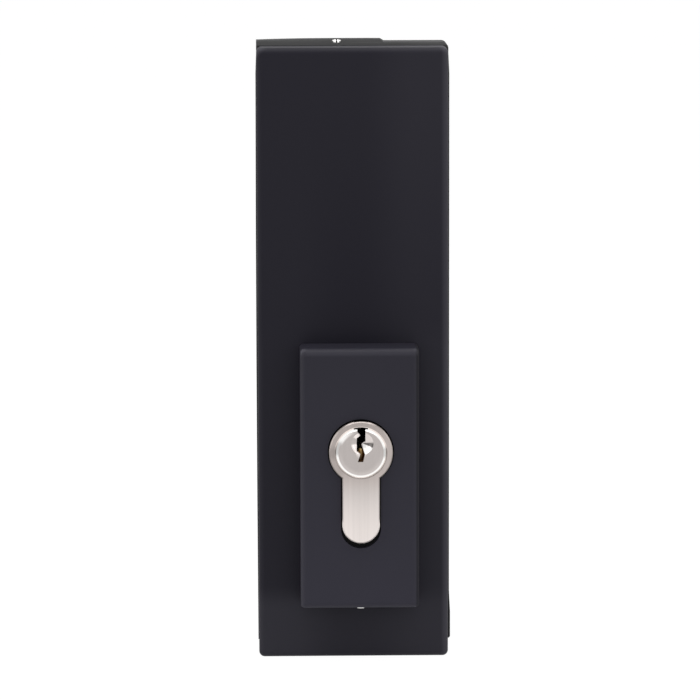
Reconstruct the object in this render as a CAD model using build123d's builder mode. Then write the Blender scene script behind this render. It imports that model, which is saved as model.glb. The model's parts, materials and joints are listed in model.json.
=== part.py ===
from build123d import *
import math
import os

os.makedirs("parts", exist_ok=True)

# Glass door patch lock, millimetres. X runs across the lock towards the bolt side, Y runs from the
# front cover to the rear cover and Z runs up the long side. The origin is where the glass edge stops:
# on the packer's face, at the middle of the glass's thickness and at half the height of the covers.

# Covers, the two shells that are seen
cover_width = 51.2
cover_height = 165.0
cover_wall = 1.5
cover_edge_radius = 1.6
cover_corner_radius = 1.5
body_depth = 30.0
mechanism_width = 35.2

# Glass and what holds it
glass_thickness = 10.0
gasket_thickness = 1.0
gasket_lip = 0.2
gasket_lip_bow = 0.15
strip_end_inset = 1.7
packer_thickness = 1.0
packer_end_gap = 6.7
packer_gap = 0.2
cover_fit_gap = 0.2
clip_rib_height = 0.5
clip_rib_length = 24.0
clip_rib_depth = 0.8
clip_rib_play = 0.4

# Profile cylinder, the standard shape with a round head and a flat web
head_radius = 8.5
web_half = 5.0
profile_height = 33.0
cylinder_half_length = 27.0
cylinder_backset = 23.8
cylinder_above_bottom = 57.9
cylinder_face_chamfer = 0.3
plug_radius = 6.9
plug_running_gap = 0.05
plug_chamfer = 0.75
plug_dimple_radius = 3.0
plug_dimple_depth = 0.9
plug_dimple_up = 2.5
plug_dimple_right = 0.37
shoulder_notch_width = 3.65
shoulder_notch_height = 0.35
shoulder_notch_right = 0.22
shoulder_notch_up = 6.53
shoulder_notch_depth = 0.5
cam_slot_half = 5.0
cam_slot_below_axis = 8.9
spigot_radius = 4.1
clutch_half = 0.9
clutch_ear_reach = 5.0
clutch_ear_width = 2.0
clutch_tang_width = 1.1
clutch_tang_height = 3.0
clutch_tang_left = 0.45
clutch_tang_up = 2.15
clutch_tang_length = 2.4
circlip_radius = 7.7
circlip_thickness = 0.5
circlip_groove_depth = 0.9
circlip_opening = 3.0
axial_gap = 0.1

# Pins under the plug, as many to each side as the cylinder's length leaves room for
pin_radius = 1.4
pin_hole_radius = 1.5
pin_first_from_face = 4.2
pin_pitch = 3.8
pin_wall = 0.6
key_pin_lengths = (8.4, 7.2, 7.9, 6.8, 7.5)
key_pin_chamber_up = 2.1
pin_tip_height = 0.9
pin_tip_radius = 0.4
driver_pin_length = 5.0
chamber_plug_length = 2.2
chamber_plug_inset = 0.4
spring_wire = 0.35
pin_play = 0.05

# Raised pads round the cylinder ends
pad_width = 31.7
pad_to_glass_side = 0.3
pad_above_axis = 27.85
pad_below_axis = 42.6
pad_proud = 10.4
pad_wall = 2.0
pad_edge_radius = 2.0
pad_corner_radius = 1.0
pad_hole_gap = 0.35
pad_hole_extra_drop = 1.25
pad_fit_gap = 0.2
pad_screw_proud = 0.6
pad_screw_length = 6.0

# Lock case between the clamp plates
case_wall = 1.3
case_side_wall = 1.2
case_below_cover_top = 10.1
case_above_cover_bottom = 1.5
forend_thickness = 1.6
forend_proud = 0.6
forend_foot_height = 13.3
forend_foot_slope = 6.0
forend_foot_end = 0.4
forend_foot_proud = 0.3
forend_side_gap = 0.2
body_hole_gap = 0.25
boss_wall = 1.3
clamp_boss_wall = 2.2

# Gear train from the cylinder to the bolt
pressure_angle = math.radians(25)
addendum_factor = 0.85
dedendum_factor = 1.1
tooth_thinning = 0.08
tooth_foot_factor = 0.9
cam_module = 1.0
cam_teeth = 14
wheel_teeth = 26
wheel_side_step = 5.5
wheel_thickness = 3.0
wheel_front_y = 0.8
wheel_hub_radius = 2.45
wheel_window_count = 5
wheel_window_radius = 2.4
pinion_module = 0.75
pinion_teeth = 10
pinion_front_y = -3.4
cam_half_width = 3.8
gear_axle_radius = 1.5
gear_running_gap = 0.05
gear_boss_radius = 3.6
press_gap = 0.02

# Deadbolt
bolt_height = 20.0
bolt_thickness = 9.0
bolt_above_wheel = 0.4
bolt_running_gap = 0.2
bolt_edge_chamfer = 0.6
bolt_recess = 0.2
bolt_tail_gap = 0.3
bolt_throw = 2 * math.pi * (pinion_module * pinion_teeth / 2) * cam_teeth / wheel_teeth
rack_arm_front_y = -3.2
rack_arm_back_y = 0.5
rack_reach = 2.2
guide_ledge_height = 2.5
guide_rib_height = 2.2

# Screws
screw_gap = 0.2
clamp_screw_radius = 3.0
clamp_head_radius = 5.0
clamp_head_height = 4.0
clamp_socket_radius = 2.9
clamp_screw_xs = (8.5, 22.5)
clamp_screw_below_case_top = 9.0
clamp_screw_above_case_bottom = 8.0
clamp_screw_end_gap = 1.5
small_screw_radius = 1.5
small_head_radius = 2.8
small_socket_radius = 1.0
lid_screw_length = 6.0
forend_screw_length = 6.0
forend_screw_below_case_top = 5.4
forend_screw_above_case_bottom = 17.0
cylinder_screw_radius = 2.5
cylinder_screw_head_radius = 4.0
cylinder_screw_socket_radius = 1.5
cylinder_screw_below_axis = 18.0
cylinder_screw_end_gap = 1.0
cap_screw_radius = 1.25
cap_screw_boss_wall = 1.2
cap_screw_from_glass = 5.6
cap_screw_forward = 3.5
cap_screw_length = 15.5
cap_screw_rise = 1.45
cap_screw_socket_radius = 0.75
socket_depth = 1.6
grub_edge_chamfer = 0.2
grub_point_radius = 0.6
grub_point_height = 0.9

# End cap over the upper end
cap_crown = 1.65
cap_left_rise = 1.15
cap_bow_drop = 0.03
cap_bow_end_drop = 0.1
cap_right_rise = 0.76
cap_right_proud = 0.35
cap_step_from_left = 34.4
cap_step_slope = 1.1
cap_flare_start = 2.0
cap_flare_end = 2.6
cap_side_gap = 0.1
cap_wall = 2.0
cap_corner_radius = 1.6

# Places worked out from the sizes above
glass_grip = cover_width - mechanism_width
cover_left = -glass_grip
cover_right = cover_width - glass_grip
cover_middle_x = (cover_left + cover_right) / 2
cover_half_height = cover_height / 2
face_y = body_depth / 2
gap_half = glass_thickness / 2 + gasket_thickness
plate_outer_y = face_y - cover_wall - cover_fit_gap
pad_face_y = face_y + pad_proud
cylinder_x = cover_right - cylinder_backset
cylinder_z = cylinder_above_bottom - cover_half_height
web_end_z = cylinder_z - (profile_height - head_radius - web_half)
web_bottom_z = cylinder_z - (profile_height - head_radius)
pad_middle_x = cylinder_x - pad_to_glass_side
pad_middle_z = cylinder_z + (pad_above_axis - pad_below_axis) / 2
pad_height = pad_above_axis + pad_below_axis
pad_bottom_z = cylinder_z - pad_below_axis
case_inner_y = gap_half - case_wall
case_top = cover_half_height - case_below_cover_top
case_bottom = cover_half_height - case_above_cover_bottom
strip_bottom = case_bottom - strip_end_inset
case_left = packer_thickness
forend_face_x = cover_right + forend_proud
case_right = forend_face_x - forend_thickness
case_inner_left = case_left + case_side_wall
case_inner_right = case_right - case_side_wall
case_middle_z = (case_top - case_bottom) / 2
case_height = case_top + case_bottom
pitch_cam = cam_module * cam_teeth / 2
pitch_wheel = cam_module * wheel_teeth / 2
pitch_pinion = pinion_module * pinion_teeth / 2
wheel_x = cylinder_x + wheel_side_step
wheel_z = cylinder_z + math.sqrt((pitch_cam + pitch_wheel) ** 2 - wheel_side_step**2)
mesh_angle = math.degrees(math.atan2(wheel_z - cylinder_z, wheel_side_step))
rack_pitch_z = wheel_z + pitch_pinion
bolt_bottom_z = wheel_z + pitch_wheel + addendum_factor * cam_module + bolt_above_wheel
bolt_top_z = bolt_bottom_z + bolt_height
bolt_tail_x = case_inner_left + bolt_tail_gap
bolt_nose_x = forend_face_x - bolt_recess
pin_room = cylinder_half_length - pin_first_from_face - cam_slot_half - pin_hole_radius - pin_wall
pin_count = int(pin_room / pin_pitch) + 1
pin_ys = [cylinder_half_length - pin_first_from_face - pin_pitch * i for i in range(pin_count)]
cap_top_z = cover_half_height + cap_crown
clamp_screw_zs = (case_top - clamp_screw_below_case_top, clamp_screw_above_case_bottom - case_bottom)
lid_screw_x = (clamp_screw_xs[0] + clamp_screw_xs[1]) / 2
forend_screw_zs = (
    case_top - forend_screw_below_case_top,
    forend_screw_above_case_bottom - case_bottom,
)


def facing_front(y, x=0.0, z=0.0):
    # A plane across the lock at depth y. Its drawing reads as X and Z, and it extrudes to the front.
    return Plane(origin=(x, y, z), x_dir=(1, 0, 0), z_dir=(0, -1, 0))


def facing_bolt_side(x):
    # A plane along the lock at x. Its drawing reads as Y and Z, and it extrudes to the bolt side.
    return Plane(origin=(x, 0, 0), x_dir=(0, 1, 0), z_dir=(1, 0, 0))


def profile_outline(gap, drop=0.0):
    # The cylinder's oval, grown by a gap all round and lengthened downwards by a drop
    web_depth = cylinder_z - web_end_z + drop
    with Locations((cylinder_x, cylinder_z)):
        Circle(head_radius + gap)
    with Locations((cylinder_x, cylinder_z - web_depth / 2)):
        Rectangle(2 * (web_half + gap), web_depth)
    with Locations((cylinder_x, cylinder_z - web_depth)):
        Circle(web_half + gap)


def gear_outline(teeth, module, first_tooth_angle):
    # An involute gear about the local origin, each flank a smooth arc through three involute points
    pitch = module * teeth / 2
    base = pitch * math.cos(pressure_angle)
    root = pitch - dedendum_factor * module
    tip = pitch + addendum_factor * module
    half_at_pitch = math.pi / (2 * teeth) - tooth_thinning / (2 * pitch)
    spread = half_at_pitch + math.tan(pressure_angle) - pressure_angle

    def flank_point(radius, side):
        roll = math.acos(min(1.0, base / radius))
        turn = side * (spread - math.tan(roll) + roll)
        return (radius * math.cos(turn), radius * math.sin(turn))

    start = max(base, root)
    middle = (start + tip) / 2
    with BuildSketch(mode=Mode.PRIVATE) as tooth:
        with BuildLine():
            Line((root * tooth_foot_factor, 0), flank_point(root, -1))
            if start > root:
                Line(flank_point(root, -1), flank_point(start, -1))
            ThreePointArc(flank_point(start, -1), flank_point(middle, -1), flank_point(tip, -1))
            ThreePointArc(flank_point(tip, -1), (tip, 0), flank_point(tip, 1))
            ThreePointArc(flank_point(tip, 1), flank_point(middle, 1), flank_point(start, 1))
            if start > root:
                Line(flank_point(start, 1), flank_point(root, 1))
            Line(flank_point(root, 1), (root * tooth_foot_factor, 0))
        make_face()
    Circle(root)
    with PolarLocations(0, teeth, start_angle=first_tooth_angle):
        add(tooth.sketch)


def socket_screw(length, radius, head_radius_out, head_height, socket_radius):
    # A socket screw along Z with the top of its head at the origin
    with BuildPart(mode=Mode.PRIVATE) as screw:
        with BuildSketch():
            Circle(head_radius_out)
        extrude(amount=-head_height)
        with BuildSketch(Plane.XY.offset(-head_height)):
            Circle(radius)
        extrude(amount=head_height - length)
        with BuildSketch():
            RegularPolygon(socket_radius, 6)
        extrude(amount=-head_height / 2, mode=Mode.SUBTRACT)
    return screw.part


def countersunk_screw(length, radius, head_radius_out, socket_radius):
    # A countersunk screw along Z with its flat head at the origin
    cone_height = head_radius_out - radius
    with BuildPart(mode=Mode.PRIVATE) as screw:
        with BuildSketch(Plane.XZ):
            with BuildLine():
                Polyline(
                    (0, 0),
                    (head_radius_out, 0),
                    (radius, -cone_height),
                    (radius, -length),
                    (0, -length),
                    close=True,
                )
            make_face()
        revolve(axis=Axis.Z)
        with BuildSketch():
            RegularPolygon(socket_radius, 6)
        extrude(amount=-cone_height, mode=Mode.SUBTRACT)
    return screw.part


def grub_screw(length, radius, socket_radius):
    # A headless socket screw along Z with its socket end at the origin and a cone point
    with BuildPart(mode=Mode.PRIVATE) as screw:
        with BuildSketch(Plane.XZ):
            with BuildLine():
                Polyline(
                    (0, 0),
                    (radius - grub_edge_chamfer, 0),
                    (radius, -grub_edge_chamfer),
                    (radius, grub_point_height - length),
                    (grub_point_radius, -length),
                    (0, -length),
                    close=True,
                )
            make_face()
        revolve(axis=Axis.Z)
        with BuildSketch():
            RegularPolygon(socket_radius, 6)
        extrude(amount=-socket_depth, mode=Mode.SUBTRACT)
    return screw.part


# Front cover: a drawn shell with a rounded rim, a window for the collar and two clip ribs
with BuildPart() as front_cover:
    with BuildSketch(facing_front(-gap_half)):
        with Locations((cover_middle_x, 0)):
            RectangleRounded(cover_width, cover_height, cover_corner_radius)
    extrude(amount=face_y - gap_half)
    fillet(front_cover.faces().sort_by(Axis.Y)[0].edges(), radius=cover_edge_radius)
    with BuildSketch(facing_front(-gap_half)):
        with Locations((cover_middle_x, 0)):
            RectangleRounded(
                cover_width - 2 * cover_wall, cover_height - 2 * cover_wall, cover_corner_radius / 2
            )
    extrude(amount=face_y - gap_half - cover_wall, mode=Mode.SUBTRACT)
    with BuildSketch(facing_front(-gap_half)):
        with Locations((pad_middle_x, pad_middle_z)):
            Rectangle(pad_width - 2 * pad_wall, pad_height - 2 * pad_wall)
    extrude(amount=face_y, mode=Mode.SUBTRACT)
    rib_z = cover_half_height - cover_wall - clip_rib_height / 2
    rib_y = (gap_half + plate_outer_y) / 2
    with Locations((cover_middle_x, -rib_y, rib_z), (cover_middle_x, -rib_y, -rib_z)):
        Box(clip_rib_length, clip_rib_depth, clip_rib_height)
front_cover.part.label = "front_cover"
export_step(front_cover.part, "parts/front_cover.step")

with BuildPart() as rear_cover:
    mirror(front_cover.part, about=Plane.XZ)
rear_cover.part.label = "rear_cover"
export_step(rear_cover.part, "parts/rear_cover.step")

# Front pad: a hollow block with the profile hole in its face and a set screw hole underneath
pad_screw_y = face_y + pad_proud / 2
with BuildPart() as front_pad:
    with BuildSketch(facing_front(-face_y)):
        with Locations((pad_middle_x, pad_middle_z)):
            RectangleRounded(pad_width, pad_height, pad_corner_radius)
    extrude(amount=pad_proud)
    fillet(front_pad.faces().sort_by(Axis.Y)[0].edges(), radius=pad_edge_radius)
    with BuildSketch(facing_front(-face_y)):
        with Locations((pad_middle_x, pad_middle_z)):
            Rectangle(pad_width - 2 * pad_wall, pad_height - 2 * pad_wall)
    extrude(amount=pad_proud - pad_wall, mode=Mode.SUBTRACT)
    with BuildSketch(facing_front(-face_y)):
        profile_outline(pad_hole_gap, pad_hole_extra_drop)
    extrude(amount=pad_proud, mode=Mode.SUBTRACT)
    with BuildSketch(Plane.XY.offset(pad_bottom_z)):
        with Locations((cylinder_x, -pad_screw_y)):
            Circle(small_screw_radius + press_gap)
    extrude(amount=pad_wall, mode=Mode.SUBTRACT)
front_pad.part.label = "front_pad"
export_step(front_pad.part, "parts/front_pad.step")

with BuildPart() as rear_pad:
    mirror(front_pad.part, about=Plane.XZ)
rear_pad.part.label = "rear_pad"
export_step(rear_pad.part, "parts/rear_pad.step")

# Pad screws, one in the underside of each pad
pad_screw_bottom_z = pad_bottom_z - pad_screw_proud
with BuildPart() as pad_screws:
    for y in (-pad_screw_y, pad_screw_y):
        with Locations(Location((cylinder_x, y, pad_screw_bottom_z), (180, 0, 0))):
            add(grub_screw(pad_screw_length, small_screw_radius, small_socket_radius))
pad_screws.part.label = "pad_screws"
export_step(pad_screws.part, "parts/pad_screws.step")

# Front clamp plate with the collar that carries the pad
plate_width = cover_width - 2 * cover_wall - 2 * cover_fit_gap
plate_height = cover_height - 2 * cover_wall - 2 * cover_fit_gap
collar_width = pad_width - 2 * pad_wall - 2 * pad_fit_gap
collar_height = pad_height - 2 * pad_wall - 2 * pad_fit_gap
collar_end_y = pad_face_y - pad_wall - pad_fit_gap
groove_depth = clip_rib_height + cover_fit_gap
with BuildPart() as clamp_plate_blank:
    with BuildSketch(facing_front(-gap_half)):
        with Locations((cover_middle_x, 0)):
            RectangleRounded(plate_width, plate_height, cover_corner_radius)
    extrude(amount=plate_outer_y - gap_half)
    chamfer(clamp_plate_blank.faces().sort_by(Axis.Y)[0].edges(), length=cover_edge_radius / 2)
    with BuildSketch(facing_front(-gap_half)):
        with Locations((pad_middle_x, pad_middle_z)):
            Rectangle(collar_width, collar_height)
    extrude(amount=collar_end_y - gap_half)
    with Locations((cover_middle_x, -rib_y, plate_height / 2), (cover_middle_x, -rib_y, -plate_height / 2)):
        Box(
            clip_rib_length + 2 * clip_rib_play,
            clip_rib_depth + 2 * clip_rib_play,
            2 * groove_depth,
            mode=Mode.SUBTRACT,
        )
    with BuildSketch(facing_front(-gap_half)):
        profile_outline(body_hole_gap)
    extrude(amount=collar_end_y, mode=Mode.SUBTRACT)
    screw_hole_depth = pad_screw_length - pad_screw_proud - pad_wall
    with BuildSketch(Plane.XY.offset(pad_bottom_z + pad_wall)):
        with Locations((cylinder_x, -pad_screw_y)):
            Circle(small_screw_radius + screw_gap)
    extrude(amount=screw_hole_depth + screw_gap, mode=Mode.SUBTRACT)

with BuildPart() as front_clamp_plate:
    add(clamp_plate_blank.part)
    with BuildSketch(facing_front(-gap_half)):
        with Locations(*[(x, z) for x in clamp_screw_xs for z in clamp_screw_zs]):
            Circle(clamp_screw_radius + screw_gap)
    extrude(amount=plate_outer_y, mode=Mode.SUBTRACT)
    with BuildSketch(facing_front(-plate_outer_y + clamp_head_height)):
        with Locations(*[(x, z) for x in clamp_screw_xs for z in clamp_screw_zs]):
            Circle(clamp_head_radius + screw_gap)
    extrude(amount=clamp_head_height, mode=Mode.SUBTRACT)
front_clamp_plate.part.label = "front_clamp_plate"
export_step(front_clamp_plate.part, "parts/front_clamp_plate.step")

with BuildPart() as rear_clamp_plate:
    mirror(clamp_plate_blank.part, about=Plane.XZ)
    with BuildSketch(facing_front(plate_outer_y)):
        with Locations(*[(x, z) for x in clamp_screw_xs for z in clamp_screw_zs]):
            Circle(clamp_screw_radius + press_gap)
    extrude(amount=plate_outer_y, mode=Mode.SUBTRACT)
rear_clamp_plate.part.label = "rear_clamp_plate"
export_step(rear_clamp_plate.part, "parts/rear_clamp_plate.step")

# Clamp screws, which draw the two plates together on the glass
clamp_screw_length = 2 * plate_outer_y - clamp_screw_end_gap
with BuildPart() as clamp_screws:
    for x in clamp_screw_xs:
        for z in clamp_screw_zs:
            with Locations(Location((x, -plate_outer_y, z), (90, 0, 0))):
                add(
                    socket_screw(
                        clamp_screw_length,
                        clamp_screw_radius,
                        clamp_head_radius,
                        clamp_head_height,
                        clamp_socket_radius,
                    )
                )
clamp_screws.part.label = "clamp_screws"
export_step(clamp_screws.part, "parts/clamp_screws.step")

# Gaskets between the plates and the glass, with a lip past the covers
gasket_top = case_top - packer_gap
with BuildPart() as front_gasket:
    with BuildSketch(facing_front(-glass_thickness / 2)):
        with BuildLine():
            ThreePointArc(
                (cover_left - gasket_lip, -strip_bottom),
                (cover_left - gasket_lip - gasket_lip_bow, (gasket_top - strip_bottom) / 2),
                (cover_left - gasket_lip, gasket_top),
            )
            Polyline(
                (cover_left - gasket_lip, gasket_top),
                (-packer_gap, gasket_top),
                (-packer_gap, -strip_bottom),
                (cover_left - gasket_lip, -strip_bottom),
            )
        make_face()
    extrude(amount=gasket_thickness)
front_gasket.part.label = "front_gasket"
export_step(front_gasket.part, "parts/front_gasket.step")

with BuildPart() as rear_gasket:
    mirror(front_gasket.part, about=Plane.XZ)
rear_gasket.part.label = "rear_gasket"
export_step(rear_gasket.part, "parts/rear_gasket.step")

# Packer, the strip that the edge of the glass stops against
packer_half_y = glass_thickness / 2 - packer_gap
with BuildPart() as glass_packer:
    with BuildSketch(facing_bolt_side(0)):
        Rectangle(2 * packer_half_y, case_height - 2 * packer_end_gap)
    extrude(amount=packer_thickness)
glass_packer.part.label = "glass_packer"
export_step(glass_packer.part, "parts/glass_packer.step")

# Lock case: an open box with bosses, ledges and ribs, closed by a lid at the rear
small_boss_radius = small_screw_radius + boss_wall
clamp_boss_radius = clamp_screw_radius + screw_gap + clamp_boss_wall
ledge_front_depth = case_inner_y + pinion_front_y - axial_gap
cap_screw_top_z = cover_half_height + cap_screw_rise
cap_screw_end_z = cap_screw_top_z - cap_screw_length
cap_screw_place = (cap_screw_from_glass, -cap_screw_forward)
with BuildPart() as lock_case:
    with BuildSketch(facing_front(case_inner_y)):
        with Locations(((case_left + case_right) / 2, case_middle_z)):
            Rectangle(case_right - case_left, case_height)
    extrude(amount=case_inner_y + gap_half)
    with BuildSketch(facing_front(case_inner_y)):
        with Locations(((case_inner_left + case_inner_right) / 2, case_middle_z)):
            Rectangle(case_inner_right - case_inner_left, case_height - 2 * case_wall)
    extrude(amount=2 * case_inner_y, mode=Mode.SUBTRACT)
    with BuildSketch(facing_front(case_inner_y)):
        with Locations(*[(x, z) for x in clamp_screw_xs for z in clamp_screw_zs]):
            Circle(clamp_boss_radius)
        with Locations(*[(lid_screw_x, z) for z in clamp_screw_zs]):
            Circle(small_boss_radius)
    extrude(amount=2 * case_inner_y)
    with BuildSketch(facing_front(-case_inner_y + ledge_front_depth)):
        with Locations((wheel_x, wheel_z)):
            Circle(gear_boss_radius)
        with Locations(((case_inner_left + case_inner_right) / 2, bolt_bottom_z - bolt_running_gap)):
            Rectangle(
                case_inner_right - case_inner_left, guide_ledge_height, align=(Align.CENTER, Align.MAX)
            )
    extrude(amount=ledge_front_depth)
    with BuildSketch(facing_front(case_inner_y)):
        with Locations(((case_inner_left + case_inner_right) / 2, bolt_top_z + bolt_running_gap)):
            Rectangle(
                case_inner_right - case_inner_left, guide_rib_height, align=(Align.CENTER, Align.MIN)
            )
    extrude(amount=2 * case_inner_y)
    with BuildSketch(facing_bolt_side(case_inner_right - forend_screw_length)):
        with Locations(*[(0, z) for z in forend_screw_zs]):
            Rectangle(2 * small_boss_radius, 2 * small_boss_radius)
    extrude(amount=forend_screw_length)
    with BuildSketch(Plane.XY.offset(cap_screw_end_z - boss_wall)):
        with Locations(cap_screw_place):
            Circle(cap_screw_radius + cap_screw_boss_wall)
    extrude(amount=case_top - case_wall - cap_screw_end_z + boss_wall)
    with BuildSketch(facing_front(case_inner_y)):
        with Locations(*[(x, z) for x in clamp_screw_xs for z in clamp_screw_zs]):
            Circle(clamp_screw_radius + screw_gap)
        with Locations((wheel_x, wheel_z)):
            Circle(gear_axle_radius + press_gap)
        profile_outline(body_hole_gap)
    extrude(amount=case_inner_y + gap_half, mode=Mode.SUBTRACT)
    with BuildSketch(facing_front(case_inner_y)):
        with Locations(*[(lid_screw_x, z) for z in clamp_screw_zs]):
            Circle(small_screw_radius + press_gap)
    extrude(amount=lid_screw_length, mode=Mode.SUBTRACT)
    with BuildSketch(facing_bolt_side(case_inner_right - forend_screw_length)):
        with Locations(*[(0, z) for z in forend_screw_zs]):
            Circle(small_screw_radius + press_gap)
        with Locations((0, cylinder_z - cylinder_screw_below_axis)):
            Circle(cylinder_screw_radius + screw_gap)
        with Locations((0, (bolt_bottom_z + bolt_top_z) / 2)):
            Rectangle(2 * case_inner_y, bolt_height + 2 * bolt_running_gap)
    extrude(amount=forend_screw_length + case_side_wall, mode=Mode.SUBTRACT)
    with BuildSketch(Plane.XY.offset(cap_screw_end_z - press_gap)):
        with Locations(cap_screw_place):
            Circle(cap_screw_radius + press_gap)
    extrude(amount=case_top, mode=Mode.SUBTRACT)
lock_case.part.label = "lock_case"
export_step(lock_case.part, "parts/lock_case.step")

# Case lid with its own ledge for the bolt and a boss for the gear axle
lid_ledge_y = wheel_front_y + wheel_thickness + axial_gap
with BuildPart() as case_lid:
    with BuildSketch(facing_front(gap_half)):
        with Locations(((case_left + case_right) / 2, case_middle_z)):
            Rectangle(case_right - case_left, case_height)
    extrude(amount=case_wall)
    with BuildSketch(facing_front(case_inner_y)):
        with Locations((wheel_x, wheel_z)):
            Circle(gear_boss_radius)
        with Locations(((case_inner_left + case_inner_right) / 2, bolt_bottom_z - bolt_running_gap)):
            Rectangle(
                case_inner_right - case_inner_left - 2 * cover_fit_gap,
                guide_ledge_height,
                align=(Align.CENTER, Align.MAX),
            )
    extrude(amount=case_inner_y - lid_ledge_y)
    with BuildSketch(facing_front(gap_half)):
        with Locations(*[(x, z) for x in clamp_screw_xs for z in clamp_screw_zs]):
            Circle(clamp_screw_radius + screw_gap)
        with Locations((wheel_x, wheel_z)):
            Circle(gear_axle_radius + press_gap)
        profile_outline(body_hole_gap)
    extrude(amount=gap_half, mode=Mode.SUBTRACT)
    for z in clamp_screw_zs:
        with Locations(Location((lid_screw_x, gap_half, z), (-90, 0, 0))):
            CounterSinkHole(
                small_screw_radius + press_gap,
                small_head_radius + press_gap,
                case_wall,
                counter_sink_angle=90,
            )
case_lid.part.label = "case_lid"
export_step(case_lid.part, "parts/case_lid.step")

with BuildPart() as case_lid_screws:
    for z in clamp_screw_zs:
        with Locations(Location((lid_screw_x, gap_half, z), (-90, 0, 0))):
            add(
                countersunk_screw(
                    lid_screw_length, small_screw_radius, small_head_radius, small_socket_radius
                )
            )
case_lid_screws.part.label = "case_lid_screws"
export_step(case_lid_screws.part, "parts/case_lid_screws.step")

# Forend, the strip on the bolt side that the bolt comes through, with a raised foot
forend_foot_x = forend_face_x + forend_foot_proud
forend_half_y = gap_half - forend_side_gap
bolt_middle_z = (bolt_bottom_z + bolt_top_z) / 2
cylinder_screw_z = cylinder_z - cylinder_screw_below_axis
with BuildPart() as forend:
    with BuildSketch(facing_bolt_side(case_right)):
        with Locations((0, -strip_bottom)):
            Rectangle(
                2 * forend_half_y, case_top + strip_bottom, align=(Align.CENTER, Align.MIN)
            )
        with Locations((0, bolt_middle_z)):
            Rectangle(
                bolt_thickness + 2 * bolt_running_gap,
                bolt_height + 2 * bolt_running_gap,
                mode=Mode.SUBTRACT,
            )
    extrude(amount=forend_thickness)
    with BuildSketch(facing_front(forend_half_y)):
        with BuildLine():
            Polyline(
                (case_right, -strip_bottom),
                (forend_face_x, -strip_bottom),
                (forend_foot_x, forend_foot_end - strip_bottom),
                (forend_foot_x, forend_foot_height - forend_foot_slope - strip_bottom),
                (forend_face_x, forend_foot_height - strip_bottom),
                (case_right, forend_foot_height - strip_bottom),
                close=True,
            )
        make_face()
    extrude(amount=2 * forend_half_y)
    for z in forend_screw_zs:
        with Locations(Location((forend_face_x, 0, z), (0, 90, 0))):
            CounterSinkHole(
                small_screw_radius + press_gap,
                small_head_radius + press_gap,
                forend_thickness,
                counter_sink_angle=90,
            )
    with Locations(Location((forend_face_x, 0, cylinder_screw_z), (0, 90, 0))):
        CounterSinkHole(
            cylinder_screw_radius + press_gap,
            cylinder_screw_head_radius + press_gap,
            forend_thickness,
            counter_sink_angle=90,
        )
forend.part.label = "forend"
export_step(forend.part, "parts/forend.step")

with BuildPart() as forend_screws:
    for z in forend_screw_zs:
        with Locations(Location((forend_face_x, 0, z), (0, 90, 0))):
            add(
                countersunk_screw(
                    forend_screw_length, small_screw_radius, small_head_radius, small_socket_radius
                )
            )
forend_screws.part.label = "forend_screws"
export_step(forend_screws.part, "parts/forend_screws.step")

# Cylinder screw, which holds the cylinder by its web
cylinder_screw_length = forend_face_x - (cylinder_x - web_half + cylinder_screw_end_gap)
with BuildPart() as cylinder_screw:
    with Locations(Location((forend_face_x, 0, cylinder_screw_z), (0, 90, 0))):
        add(
            countersunk_screw(
                cylinder_screw_length,
                cylinder_screw_radius,
                cylinder_screw_head_radius,
                cylinder_screw_socket_radius,
            )
        )
cylinder_screw.part.label = "cylinder_screw"
export_step(cylinder_screw.part, "parts/cylinder_screw.step")

# End cap: crowned both ways over the glass side, with a step down to the bolt side, and flared at
# both sides down to the gaskets and the forend
cap_half_y = gap_half - cap_side_gap
cap_right = cover_right + cap_right_proud
cap_right_top_z = cover_half_height + cap_right_rise
cap_step_x = cover_left + cap_step_from_left
cap_flare_top_z = cover_half_height - cap_flare_start
cap_flare_bottom_z = case_top + cap_flare_end
with BuildPart() as end_cap:
    with BuildSketch(facing_front(cap_half_y)):
        with BuildLine():
            Polyline(
                (cover_left - gasket_lip, case_top),
                (cover_left - gasket_lip, cap_flare_bottom_z),
                (cover_left, cap_flare_top_z),
                (cover_left, cover_half_height + cap_left_rise),
            )
            ThreePointArc(
                (cover_left, cover_half_height + cap_left_rise),
                ((cover_left + cap_step_x) / 2, cap_top_z - cap_bow_drop),
                (cap_step_x - cap_step_slope, cap_top_z - cap_bow_end_drop),
            )
            Polyline(
                (cap_step_x - cap_step_slope, cap_top_z - cap_bow_end_drop),
                (cap_step_x, cap_right_top_z),
                (cap_right, cap_right_top_z),
                (cap_right, cap_flare_top_z),
                (forend_face_x, cap_flare_bottom_z),
                (forend_face_x, case_top),
                (cover_left - gasket_lip, case_top),
            )
        make_face()
    extrude(amount=2 * cap_half_y)
    with BuildSketch(facing_bolt_side(cover_left - gasket_lip)):
        with BuildLine():
            ThreePointArc(
                (-cap_half_y, cover_half_height + cap_side_gap),
                (0, cap_top_z),
                (cap_half_y, cover_half_height + cap_side_gap),
            )
            Polyline(
                (cap_half_y, cover_half_height + cap_side_gap),
                (cap_half_y, case_top),
                (-cap_half_y, case_top),
                (-cap_half_y, cover_half_height + cap_side_gap),
            )
        make_face()
    extrude(amount=forend_face_x - cover_left + gasket_lip, mode=Mode.INTERSECT)
    fillet(
        end_cap.edges()
        .filter_by(Axis.Y)
        .filter_by_position(Axis.X, cap_right, cap_right)
        .sort_by(Axis.Z)[-1],
        radius=cap_corner_radius,
    )
    with BuildSketch(Plane.XY.offset(case_top)):
        with Locations((cap_right - cap_wall, 0)):
            Rectangle(
                cap_right - cap_wall - cap_step_x,
                2 * (cap_half_y - cap_wall),
                align=(Align.MAX, Align.CENTER),
            )
    extrude(amount=cover_half_height - cap_wall - case_top, mode=Mode.SUBTRACT)
    with BuildSketch(Plane.XY.offset(case_top)):
        with Locations(cap_screw_place):
            Circle(cap_screw_radius + press_gap)
    extrude(amount=cover_half_height, mode=Mode.SUBTRACT)
end_cap.part.label = "end_cap"
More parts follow.
